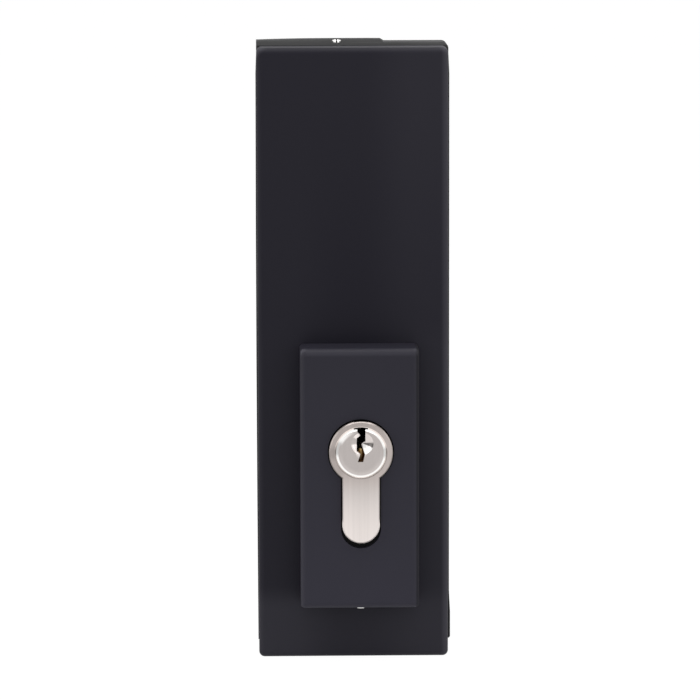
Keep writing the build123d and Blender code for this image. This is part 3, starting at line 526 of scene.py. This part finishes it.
def dimpleWalls(right, above):
    # How far from the dimple's point, the painted light and shade on its wall there, and where its
    # painted highlight is
    aside = right - dimple["right"]
    aloft = above - dimple["up"]
    reach = distance(aside, aloft) + 0.001
    tilt = aloft / reach
    lean = aside / reach
    leftWall = 1 - lean.ease(-0.5, -0.2)
    rightWall = lean.ease(0.1, 0.3)
    lit = rightWall * (1 - tilt.ease(-0.50, -0.36))
    dark = lean.ease(0.80, 0.92) * tilt.hump(-0.36, 0.04, 0.07)
    arc = leftWall * (1 - tilt.ease(-0.2, 0.0)) * reach.ease(2.25, 2.65)
    crest = leftWall * tilt.ease(0.5, 0.7) * reach.ease(1.2, 1.6)
    crest = crest + 0.5 * rightWall * tilt.ease(0.10, 0.25)
    wall = dimple["wall"] + dimple["lit"] * lit - dimple["dark"] * dark
    return reach, wall + dimple["arc"] * arc + dimple["crest"] * crest, lit


# Painted light and shade on the plug's face, and its gloss and grain
plugFace = {
    "fine": (1800, 1800, 40),
    "level": 0.475,
    "footGain": 0.09,
    "ring": (5.9, 6.2),
    "broadRing": (5.15, 5.85),
    "ringLevel": 0.97,
    "leftDim": 0.42,
    "rightDim": 0.34,
    "tone": (1, 0.918, 0.885, 1),
    "ringTone": (1, 0.985, 0.965, 1),
    "glintTone": (0.42, 0.24, 0.10, 1),
    "gloss": 0.22,
    "ringPolish": 0.10,
    "hollowShade": 0.975,
    "hollowDull": 0.35,
    "relief": 0.006 * mm,
    "strength": 0.2,
}


def barrelNickel(place):
    # The plug: a satin face paler towards its foot, a polished bevel with a painted highlight,
    # broader at the upper left and dimmer at both sides, painted light and shade on the dimple's
    # walls, painted shade in the keyway and cross notch, and a painted brass glint in the keyway
    right, above, deep = fromAxis(place)
    radius = distance(right, above)
    fine = place.stretched(plugFace["fine"]).noise(1.0, detail=3, roughness=0.6)
    gain = plugFace["footGain"] * radius.ease(4.6, 6.0) * (1 - above.ease(-4, 1))
    face = plugFace["level"] + gain - 0.05 * (fine - 0.5)
    upperLeft = (1 - right.ease(-4.6, -0.8)) * above.ease(1.6, 3.2)
    ring = radius.ease(*plugFace["ring"])
    ring = ring.orMore(radius.ease(*plugFace["broadRing"]) * upperLeft * 0.9)
    leftDim = right.step(-5, 2, 1, 0) * above.hump(-0.6, 3.0, 0.7)
    rightDim = right.step(5, 2) * above.hump(-1.2, 1.4, 0.7)
    bright = plugFace["ringLevel"] - plugFace["leftDim"] * leftDim - plugFace["rightDim"] * rightDim
    reach, wall, lit = dimpleWalls(right, above)
    inDimple = (reach < dimple["radius"]) * (deep > 0.015) * (1 - ring)
    inKeyway = abs(right) < keyway["half"]
    notch = inNotch(right, above, deep, crossNotch["plugHalf"])
    hollow = (inKeyway * deep.ease(*keyway["shadowDepth"])).orMore(notch)
    level = inDimple.between(ring.between(face, bright), wall)
    level = level * (1 - plugFace["hollowShade"] * hollow)
    tone = ring.orMore(inDimple * lit).blend(plugFace["tone"], plugFace["ringTone"])
    gloss = plugFace["gloss"] - plugFace["ringPolish"] * ring + plugFace["hollowDull"] * hollow
    glint = inKeyway * (deep > keyway["glintDeep"]) * (radius < keyway["glintRadius"])
    glint = glint * above.hump(-3.0, 0.2, 0.1)
    return {
        "Base Color": glint.blend(level.tinted(tone), plugFace["glintTone"]),
        "Roughness": gloss + 0.04 * (fine - 0.5),
        "Normal": fine.bump(plugFace["relief"], plugFace["strength"]),
    }


# Painted highlight and painted shade on the key pins' brass
keyPins = {
    "tip": (-2.2, 1.6),
    "tipTone": (0.46, 0.33, 0.15, 1),
    "footTone": (0.060, 0.038, 0.022, 1),
    "gloss": 0.30,
}


def pinEnds(place):
    # Brass with a painted highlight at its tip and painted shade down in the keyway
    above = fromAxis(place)[1]
    grain = place.noise(turning["grainScale"], detail=2)
    stain = place.noise(turning["stainScale"], detail=3)
    tone = above.ease(*keyPins["tip"]).blend(keyPins["footTone"], keyPins["tipTone"])
    return {
        "Base Color": (1 - 0.2 * (stain - 0.5)).tinted(tone),
        "Roughness": keyPins["gloss"] + 0.12 * (stain - 0.5),
        "Normal": grain.bump(turning["relief"], turning["strength"]),
    }


coverCoat = coatFinish("coverCoat", (0.0062, 0.0054, 0.0108), 0.54, paintedLight=coverPaintedLight)
# The pads' coat is the covers' dark coat painted paler, standing in for more light on the pads
padCoat = coatFinish(
    "padCoat", (0.0220, 0.0208, 0.0302), 0.48, spread=padPaintedLightAndShade, paintedLight=padPaintedHighlights, dull=padDull
)
forendCoat = coatFinish("forendCoat", (0.0150, 0.0145, 0.0165), 0.52)
clampLacquer = coatFinish("clampLacquer", (0.0060, 0.0060, 0.0065), 0.60)
capMoulding = mouldedFinish(
    "capMoulding",
    (0.026, 0.026, 0.0265),
    (0.032, 0.032, 0.0325),
    gloss=0.62,
    scale=5000,
    relief=0.01 * mm,
    spread=capPaintedLight,
    index=1.2,
)
gasketRubber = mouldedFinish(
    "gasketRubber",
    (0.010, 0.010, 0.011),
    (0.014, 0.014, 0.015),
    gloss=0.65,
    scale=3500,
    relief=0.01 * mm,
)
packerNylon = mouldedFinish(
    "packerNylon",
    (0.018, 0.018, 0.018),
    (0.026, 0.026, 0.026),
    gloss=0.5,
    scale=2500,
    relief=0.02 * mm,
)
bodyNickel = newFinish("bodyNickel", webNickel, Metallic=1.0)
plugNickel = newFinish("plugNickel", barrelNickel, Metallic=1.0)
keyPinBrass = newFinish("keyPinBrass", pinEnds, Metallic=1.0)
pinBrass = turnedFinish("pinBrass", (0.55, 0.36, 0.13), 0.30)
screwZinc = turnedFinish("screwZinc", (0.44, 0.44, 0.45), 0.34)
socketShadow = turnedFinish("socketShadow", (0.035, 0.035, 0.037), 0.45)
grubNickel = turnedFinish("grubNickel", (0.93, 0.92, 0.90), 0.16)
springSteel = turnedFinish("springSteel", (0.42, 0.42, 0.43), 0.30)
gearSteel = turnedFinish("gearSteel", (0.50, 0.50, 0.51), 0.32)
caseZinc = brushedFinish("caseZinc", (0.56, 0.56, 0.57), "Z", 0.36, streak=0.12, strength=0.3)
boltNickel = brushedFinish("boltNickel", (0.62, 0.61, 0.60), "X", 0.36, streak=0.10, strength=0.08)

finishes = {
    coverCoat: ["front_cover", "rear_cover"],
    forendCoat: ["forend"],
    padCoat: ["front_pad", "rear_pad"],
    capMoulding: ["end_cap"],
    gasketRubber: ["front_gasket", "rear_gasket"],
    packerNylon: ["glass_packer"],
    bodyNickel: ["cylinder_body"],
    plugNickel: ["front_plug", "rear_plug"],
    keyPinBrass: ["front_key_pins", "rear_key_pins"],
    pinBrass: ["driver_pins", "chamber_plugs"],
    grubNickel: ["pad_screws", "end_cap_screw"],
    screwZinc: ["clamp_screws", "case_lid_screws", "forend_screws", "cylinder_screw", "gear_axle"],
    springSteel: ["pin_springs", "front_circlip", "rear_circlip"],
    gearSteel: ["cam_gear", "drive_wheel", "bolt_pinion", "clutch"],
    caseZinc: ["lock_case", "case_lid"],
    boltNickel: ["deadbolt"],
    clampLacquer: ["front_clamp_plate", "rear_clamp_plate"],
}
finishOf = {name: finish for finish, names in finishes.items() for name in names}
for name, finish in finishOf.items():
    mesh = nodes[name].data
    mesh.materials.clear()
    mesh.materials.append(finish)
print("finishes on the lock's nodes")


# Shells and turned parts get smooth copies, so that their rounded edges shade as one surface

record = frame["record"]
bodyOf = {node: body for body, names in record["behaviour"]["bodies"].items() for node in names}
smoothing = {"mergeDistance": 0.002 * mm, "sharpAngle": 32}
smoothNodes = {
    "front_cover": "frontCoverShell",
    "rear_cover": "rearCoverShell",
    "front_pad": "frontPadBlock",
    "rear_pad": "rearPadBlock",
    "end_cap": "endCapMoulding",
    "cylinder_body": "cylinderOval",
    "front_plug": "frontPlugBarrel",
    "rear_plug": "rearPlugBarrel",
    "front_gasket": "frontGasketStrip",
    "rear_gasket": "rearGasketStrip",
    "deadbolt": "deadboltBlock",
    "forend": "forendStrip",
}


def shadeByAngle(shape):
    sharp = math.radians(smoothing["sharpAngle"])
    for face in shape.faces:
        face.smooth = True
    for edge in shape.edges:
        edge.smooth = len(edge.link_faces) == 2 and edge.calc_face_angle() < sharp


def mergedShape(node):
    shape = bmesh.new()
    shape.from_mesh(nodes[node].data)
    bmesh.ops.remove_doubles(shape, verts=shape.verts, dist=smoothing["mergeDistance"])
    return shape


def showInstead(name, mesh, node):
    # Shows a mesh in place of a node, on the node's own body
    mesh.name = name
    piece = bpy.data.objects.new(name, mesh)
    bpy.context.scene.collection.objects.link(piece)
    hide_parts(node)
    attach(piece, bodyOf[node])
    return piece


def smoothCopy(node, name):
    mesh = nodes[node].data.copy()
    shape = mergedShape(node)
    shadeByAngle(shape)
    shape.to_mesh(mesh)
    shape.free()
    weighted = showInstead(name, mesh, node).modifiers.new("evenNormals", "WEIGHTED_NORMAL")
    weighted.keep_sharp = True


def islandBoxes(node):
    # The low and high corners of each separate solid in a node
    shape = mergedShape(node)
    boxes = []
    waiting = set(shape.verts)
    while waiting:
        front = [waiting.pop()]
        corners = []
        while front:
            vertex = front.pop()
            corners.append(tuple(vertex.co))
            for link in vertex.link_edges:
                other = link.other_vert(vertex)
                if other in waiting:
                    waiting.remove(other)
                    front.append(other)
        spans = list(zip(*corners))
        boxes.append(([min(span) for span in spans], [max(span) for span in spans]))
    shape.free()
    return sorted(boxes)


for node, name in smoothNodes.items():
    smoothCopy(node, name)
print("smooth copies of the shells")


# Springs of the pins: one coil, set on a point at the foot of each chamber

helixInputs = [
    ("Turns", "Float"),
    ("Height", "Float"),
    ("Coil Radius", "Float"),
    ("Wire Radius", "Float"),
    ("Finish", "Material"),
]
spring = {"wireRadius": 0.17 * mm, "outside": 1.38 * mm, "turns": 7.0, "endGap": 0.02 * mm}


def treeInputs(name, sockets):
    tree = bpy.data.node_groups.new(name, "GeometryNodeTree")
    face = tree.interface
    face.new_socket("Geometry", in_out="INPUT", socket_type="NodeSocketGeometry")
    for label, kind in sockets:
        face.new_socket(label, in_out="INPUT", socket_type="NodeSocket" + kind)
    face.new_socket("Geometry", in_out="OUTPUT", socket_type="NodeSocketGeometry")
    start = tree.nodes.new("NodeGroupInput")
    return tree, {socket.name: Wire(tree, socket) for socket in start.outputs if socket.name}


def treeOutput(tree, result, finish):
    whole = result.node("GeometryNodeRealizeInstances", None, {0: result})
    inputs = {"Geometry": whole, "Material": finish}
    painted = result.node("GeometryNodeSetMaterial", None, inputs)
    tree.links.new(painted.socket, tree.nodes.new("NodeGroupOutput").inputs[0])


def evaluatedMesh(holder):
    # An object's mesh with its modifiers applied
    bpy.context.view_layer.update()
    depsgraph = bpy.context.evaluated_depsgraph_get()
    return bpy.data.meshes.new_from_object(holder.evaluated_get(depsgraph))


def growMesh(name, seeds, tree, values):
    # Runs a tree on a mesh and keeps the result as a plain mesh
    holder = bpy.data.objects.new(name + "Seeds", seeds)
    bpy.context.scene.collection.objects.link(holder)
    grown = holder.modifiers.new(name, "NODES")
    grown.node_group = tree
    for item in tree.interface.items_tree:
        if item.in_out == "INPUT" and item.name in values:
            grown[item.identifier] = values[item.name]
    mesh = evaluatedMesh(holder)
    bpy.data.objects.remove(holder)
    return mesh


def helix(given, resolution, sides):
    # A wire wound upwards from the origin
    start = given["Turns"]
    spiral = start.node(
        "GeometryNodeCurveSpiral",
        None,
        {
            "Resolution": resolution,
            "Rotations": given["Turns"],
            "Start Radius": given["Coil Radius"],
            "End Radius": given["Coil Radius"],
            "Height": given["Height"],
        },
    )
    inputs = {"Resolution": sides, "Radius": given["Wire Radius"]}
    section = start.node("GeometryNodeCurvePrimitiveCircle", None, inputs)
    inputs = {"Curve": spiral, "Profile Curve": section, "Fill Caps": True}
    wound = start.node("GeometryNodeCurveToMesh", None, inputs)
    return start.node("GeometryNodeSetShadeSmooth", None, {"Geometry": wound})


def coilTree():
    tree, given = treeInputs("springCoil", helixInputs)
    coil = helix(given, 16, 6)
    inputs = {"Points": given["Geometry"], "Instance": coil}
    placed = coil.node("GeometryNodeInstanceOnPoints", None, inputs)
    treeOutput(tree, placed, given["Finish"])
    return tree


chambers = islandBoxes("pin_springs")
springLift = spring["wireRadius"] + spring["endGap"]
springFeet = [
    ((low[0] + high[0]) / 2, (low[1] + high[1]) / 2, low[2] + springLift) for low, high in chambers
]
springSeeds = bpy.data.meshes.new("springPoints")
springSeeds.from_pydata(springFeet, [], [])
coils = growMesh(
    "springs",
    springSeeds,
    coilTree(),
    {
        "Turns": spring["turns"],
        "Height": chambers[0][1][2] - chambers[0][0][2] - 2 * springLift,
        "Coil Radius": spring["outside"] - spring["wireRadius"],
        "Wire Radius": spring["wireRadius"],
        "Finish": springSteel,
    },
)
showInstead("pinSpringCoils", coils, "pin_springs")
print("pin springs")


# Screws with their threads: a turned core with a hexagon socket or a slot, and a ridge wound
# round it. Sizes are in millimetres. A screw faces the way its head looks.

grub = {
    "form": "grub",
    "socketDepth": 1.3,
    "bevel": 0.25,
    "point": 0.6,
    "pointHeight": 0.9,
    "lead": 1,
    "shank": 1.5,
    "socket": 0.9,
    "pitch": 0.5,
    "ridge": 0.14,
}
slotted = {
    **grub,
    "form": "slotted",
    "socketDepth": 0,
    "socket": 0,
    "slotDepth": 1.3,
    "slotWidth": 0.36,
    "bevel": 0.3,
    "shank": 1.25,
    "pitch": 0.45,
    "ridge": 0.12,
}
sunk = {
    "form": "sunk",
    "socketDepth": 0.9,
    "bevel": 0.08,
    "pointHeight": 0.4,
    "lead": 2,
    "shank": 1.5,
    "head": 2.8,
    "socket": 1.0,
    "pitch": 0.5,
    "ridge": 0.14,
}
screws = {
    "pad_screws": {**grub, "name": "padGrubScrews", "faces": (0, 0, -1)},
    "end_cap_screw": {**slotted, "name": "capGrubScrew", "faces": (0, 0, 1)},
    "case_lid_screws": {**sunk, "name": "lidScrews", "faces": (0, 1, 0)},
    "forend_screws": {**sunk, "name": "forendScrews", "faces": (1, 0, 0)},
    "cylinder_screw": {
        **sunk,
        "name": "longCylinderScrew",
        "faces": (1, 0, 0),
        "shank": 2.5,
        "head": 4.0,
        "socket": 1.5,
        "socketDepth": 1.4,
        "pitch": 0.8,
        "ridge": 0.22,
    },
    "clamp_screws": {
        **sunk,
        "name": "clampScrews",
        "form": "cap",
        "faces": (0, -1, 0),
        "shank": 3.0,
        "head": 5.0,
        "headHeight": 4.0,
        "socket": 2.9,
        "socketDepth": 2.0,
        "bevel": 0.3,
        "pitch": 1.0,
        "ridge": 0.28,
    },
}


def threadTree():
    tree, given = treeInputs("screwThread", [("Foot", "Float"), *helixInputs])
    ridge = helix(given, 20, 5)
    lift = ridge.node("ShaderNodeCombineXYZ", None, {"Z": given["Foot"]})
    inputs = {"Geometry": ridge, "Translation": lift}
    raised = ridge.node("GeometryNodeTransform", None, inputs)
    whole = raised.node("GeometryNodeJoinGeometry", None, {"Geometry": raised})
    tree.links.new(given["Geometry"].socket, whole.socket.node.inputs[0])
    treeOutput(tree, whole, given["Finish"])
    return tree


def turnedCore(rings, socketRadius, segments=48):
    # Rings are (radius, height). With a socket, the first two are its hexagon. Ends are closed.
    shape = bmesh.new()
    loops = []
    for number, (radius, height) in enumerate(rings):
        loop = []
        for step in range(segments):
            angle = 2 * math.pi * step / segments
            reach = radius
            if socketRadius and number < 2:
                slant = (angle + math.pi / 6) % (math.pi / 3) - math.pi / 6
                reach = socketRadius * math.cos(math.pi / 6) / math.cos(math.pi / 6 - abs(slant))
            corner = (reach * math.cos(angle), reach * math.sin(angle), height)
            loop.append(shape.verts.new(corner))
        loops.append(loop)
    for lower, upper in zip(loops, loops[1:]):
        for step in range(segments):
            after = (step + 1) % segments
            shape.faces.new((lower[step], lower[after], upper[after], upper[step]))
    shape.faces.new(loops[0])
    shape.faces.new(loops[-1])
    bmesh.ops.recalc_face_normals(shape, faces=shape.faces)
    shadeByAngle(shape)
    mesh = bpy.data.meshes.new("screwCore")
    shape.to_mesh(mesh)
    shape.free()
    return mesh


def screwRings(size, length):
    # The core's rings from the head down, and where its thread starts and ends
    form, shank, bevel = size["form"], size["shank"], size["bevel"]
    core = shank - size["ridge"]
    rings = [(0, -size["socketDepth"]), (0, 0)]
    if form == "slotted":
        start = size["slotDepth"]
        rings = [(shank - bevel, 0), (shank, -bevel), (shank, -start)]
    elif form == "grub":
        start = bevel
        rings += [(shank - bevel, 0)]
    elif form == "sunk":
        start = size["head"] - shank + size["ridge"]
        rings += [(size["head"] - bevel, 0), (size["head"] - bevel, -bevel)]
    else:
        start = size["headHeight"]
        rings += [(size["head"] - bevel, 0), (size["head"], -bevel), (size["head"], -start)]
    tip = size["pointHeight"]
    rings += [(core, -start), (core, tip - length), (size.get("point", core - tip), -length)]
    return rings, start + size["lead"] * size["ridge"], length - tip


def cutSlot(core, size):
    # Cuts a driver's slot across the head, from front to back
    wide, deep = size["slotWidth"] * mm / 2, size["slotDepth"] * mm
    long = 1.5 * size["shank"] * mm
    corners = [(x, y, z) for x in (-wide, wide) for y in (-long, long) for z in (-deep, deep)]
    faces = [(0, 1, 3, 2), (4, 6, 7, 5), (0, 4, 5, 1), (2, 3, 7, 6), (0, 2, 6, 4), (1, 5, 7, 3)]
    tool = bpy.data.meshes.new("slotCutter")
    tool.from_pydata(corners, [], faces)
    cutter = bpy.data.objects.new("slotCutter", tool)
    blank = bpy.data.objects.new("slotCore", core)
    for item in (cutter, blank):
        bpy.context.scene.collection.objects.link(item)
    cut = blank.modifiers.new("slot", "BOOLEAN")
    cut.operation = "DIFFERENCE"
    cut.object = cutter
    mesh = evaluatedMesh(blank)
    for item in (cutter, blank):
        bpy.data.objects.remove(item)
    shape = bmesh.new()
    shape.from_mesh(mesh)
    shadeByAngle(shape)
    shape.to_mesh(mesh)
    shape.free()
    return mesh


def shadeSocket(screw, size, slack=0.01):
    # Gives the faces of the screw's socket the second material
    screw.materials.append(socketShadow)
    for face in screw.polygons:
        corners = [screw.vertices[index].co / mm for index in face.vertices]
        inside = all(math.hypot(at.x, at.y) < size["socket"] + slack for at in corners)
        socketed = inside and all(at.z > -size["socketDepth"] - slack for at in corners)
        face.material_index = 1 if socketed else 0


winding = threadTree()
for node, size in screws.items():
    across = [value != 0 for value in size["faces"]].index(True)
    head = Vector(size["faces"])
    turn = head.to_track_quat("Z", "Y").to_matrix().to_4x4()
    places = islandBoxes(node)
    length = (places[0][1][across] - places[0][0][across]) / mm
    rings, top, foot = screwRings(size, length)
    core = turnedCore([(radius * mm, height * mm) for radius, height in rings], size["socket"] * mm)
    if size["form"] == "slotted":
        core = cutSlot(core, size)
    threaded = foot - top - size["ridge"]
    screw = growMesh(
        "screw",
        core,
        winding,
        {
            "Foot": (size["ridge"] - foot) * mm,
            "Height": threaded * mm,
            "Turns": threaded / size["pitch"],
            "Coil Radius": (size["shank"] - size["ridge"]) * mm,
            "Wire Radius": size["ridge"] * mm,
            "Finish": finishOf[node],
        },
    )
    shadeSocket(screw, size)
    together = bmesh.new()
    for low, high in places:
        spot = Vector([(a + b) / 2 for a, b in zip(low, high)])
        spot[across] = high[across] if head[across] > 0 else low[across]
        copied = screw.copy()
        copied.transform(Matrix.Translation(spot) @ turn)
        together.from_mesh(copied)
    mesh = bpy.data.meshes.new(size["name"])
    together.to_mesh(mesh)
    together.free()
    mesh.materials.append(finishOf[node])
    mesh.materials.append(socketShadow)
    showInstead(size["name"], mesh, node)
print("threaded screws")


# Lamps, surroundings, floor and camera

lockMiddle = (0.0095, 0, 0)
lamps = {
    "overheadBox": {"place": (0.0, -0.10, 0.75), "size": (0.9, 0.7), "radiance": 2.2},
    "leftBox": {"place": (-0.80, -0.30, 0.15), "size": (0.5, 0.9), "radiance": 1.4},
    "rightBox": {"place": (0.80, -0.30, 0.15), "size": (0.5, 0.9), "radiance": 1.2},
    "frontBox": {"place": (0.1, -1.3, 0.45), "size": (0.8, 0.5), "radiance": 0.8},
}


def softbox(name, place, size, radiance):
    lamp = bpy.data.lights.new(name, "AREA")
    lamp.shape = "RECTANGLE"
    lamp.size, lamp.size_y = size
    lamp.energy = radiance * math.pi * size[0] * size[1]
    holder = bpy.data.objects.new(name, lamp)
    holder.location = place
    aim = Vector(lockMiddle) - Vector(place)
    holder.rotation_euler = aim.to_track_quat("-Z", "Y").to_euler()
    bpy.context.scene.collection.objects.link(holder)


for name, lamp in lamps.items():
    softbox(name, **lamp)


def seenDirectly(tree):
    # 1 where the eye, a reflection or glass looks straight at the surroundings
    eye, mirror, glass = [
        Wire(tree).node("ShaderNodeLightPath", out="Is " + kind + " Ray")
        for kind in ("Camera", "Glossy", "Transmission")
    ]
    return eye.orMore(mirror.orMore(glass))


surroundings = {
    "ambient": 0.55,
    "white": 1.0,
    "floorShown": 0.93,
    "floorGlow": 1.045,
    "floorTone": (0.80, 0.80, 0.80, 1),
    "floorReach": 8.0,
    "floorGap": 0.02 * mm,  # below the lock's foot, so that the two don't share a plane
}

world = bpy.data.worlds.new("studioAir")
bpy.context.scene.world = world
world.use_nodes = True
world.node_tree.nodes.clear()
air = Wire(world.node_tree)
ambient = surroundings["ambient"]
strength = ambient + (surroundings["white"] - ambient) * seenDirectly(air.tree)
sky = air.node("ShaderNodeBackground", None, {"Color": (1, 1, 1, 1), "Strength": strength})
worldOutput = air.tree.nodes.new("ShaderNodeOutputWorld")
air.tree.links.new(sky.socket, worldOutput.inputs["Surface"])

floorMaterial = bpy.data.materials.new("paleFloor")
floorMaterial.use_nodes = True
floorMaterial.node_tree.nodes.clear()
ground = Wire(floorMaterial.node_tree)
matt = ground.node("ShaderNodeBsdfDiffuse", None, {"Color": surroundings["floorTone"]})
glow = ground.node("ShaderNodeEmission", None, {"Strength": surroundings["floorGlow"]})
seen = surroundings["floorShown"] * seenDirectly(ground.tree)
shown = ground.node("ShaderNodeMixShader", None, {0: seen, 1: matt, 2: glow})
floorOutput = ground.tree.nodes.new("ShaderNodeOutputMaterial")
ground.tree.links.new(shown.socket, floorOutput.inputs["Surface"])

floorHeight = cadLow.z - surroundings["floorGap"]
floorCorners = [
    (x * surroundings["floorReach"], y * surroundings["floorReach"], floorHeight)
    for x, y in ((-1, -1), (1, -1), (1, 1), (-1, 1))
]
floorMesh = bpy.data.meshes.new("floor")
floorMesh.from_pydata(floorCorners, [], [(0, 1, 2, 3)])
floorMesh.materials.append(floorMaterial)
floor = bpy.data.objects.new("floor", floorMesh)
bpy.context.scene.collection.objects.link(floor)

shot = {
    "distance": 1.12,
    "azimuth": -1.215,
    "elevation": 7.990,
    "yaw": 1.178,
    "pitch": 7.916,
    "roll": -0.143,
    "lens": 214.65,
    "sensor": 36,
    "clipStart": 0.05,
    "about": (0.0095, -0.015, 0.0),
}


def direction(aside, upwards):
    # A unit vector that points along Y, turned aside and upwards
    level = math.cos(upwards)
    return Vector((math.sin(aside) * level, math.cos(aside) * level, math.sin(upwards)))


def placeCamera():
    azimuth, elevation, yaw, pitch, roll = (
        math.radians(shot[key]) for key in ("azimuth", "elevation", "yaw", "pitch", "roll")
    )
    away = direction(math.pi - azimuth, elevation)
    forward = direction(yaw, -pitch)
    level = Vector((math.cos(yaw), -math.sin(yaw), 0))
    upright = level.cross(forward)
    right = math.cos(roll) * level + math.sin(roll) * upright
    up = -math.sin(roll) * level + math.cos(roll) * upright
    camera = bpy.data.objects.new("camera", bpy.data.cameras.new("camera"))
    camera.data.sensor_width = shot["sensor"]
    camera.data.lens = shot["lens"]
    camera.data.clip_start = shot["clipStart"]
    turn = Matrix((right, up, -forward)).transposed().to_4x4()
    camera.matrix_world = Matrix.Translation(Vector(shot["about"]) + shot["distance"] * away) @ turn
    bpy.context.scene.collection.objects.link(camera)
    bpy.context.scene.camera = camera


placeCamera()
bpy.context.scene.view_settings.view_transform = "Standard"
print("floor, lamps and camera")
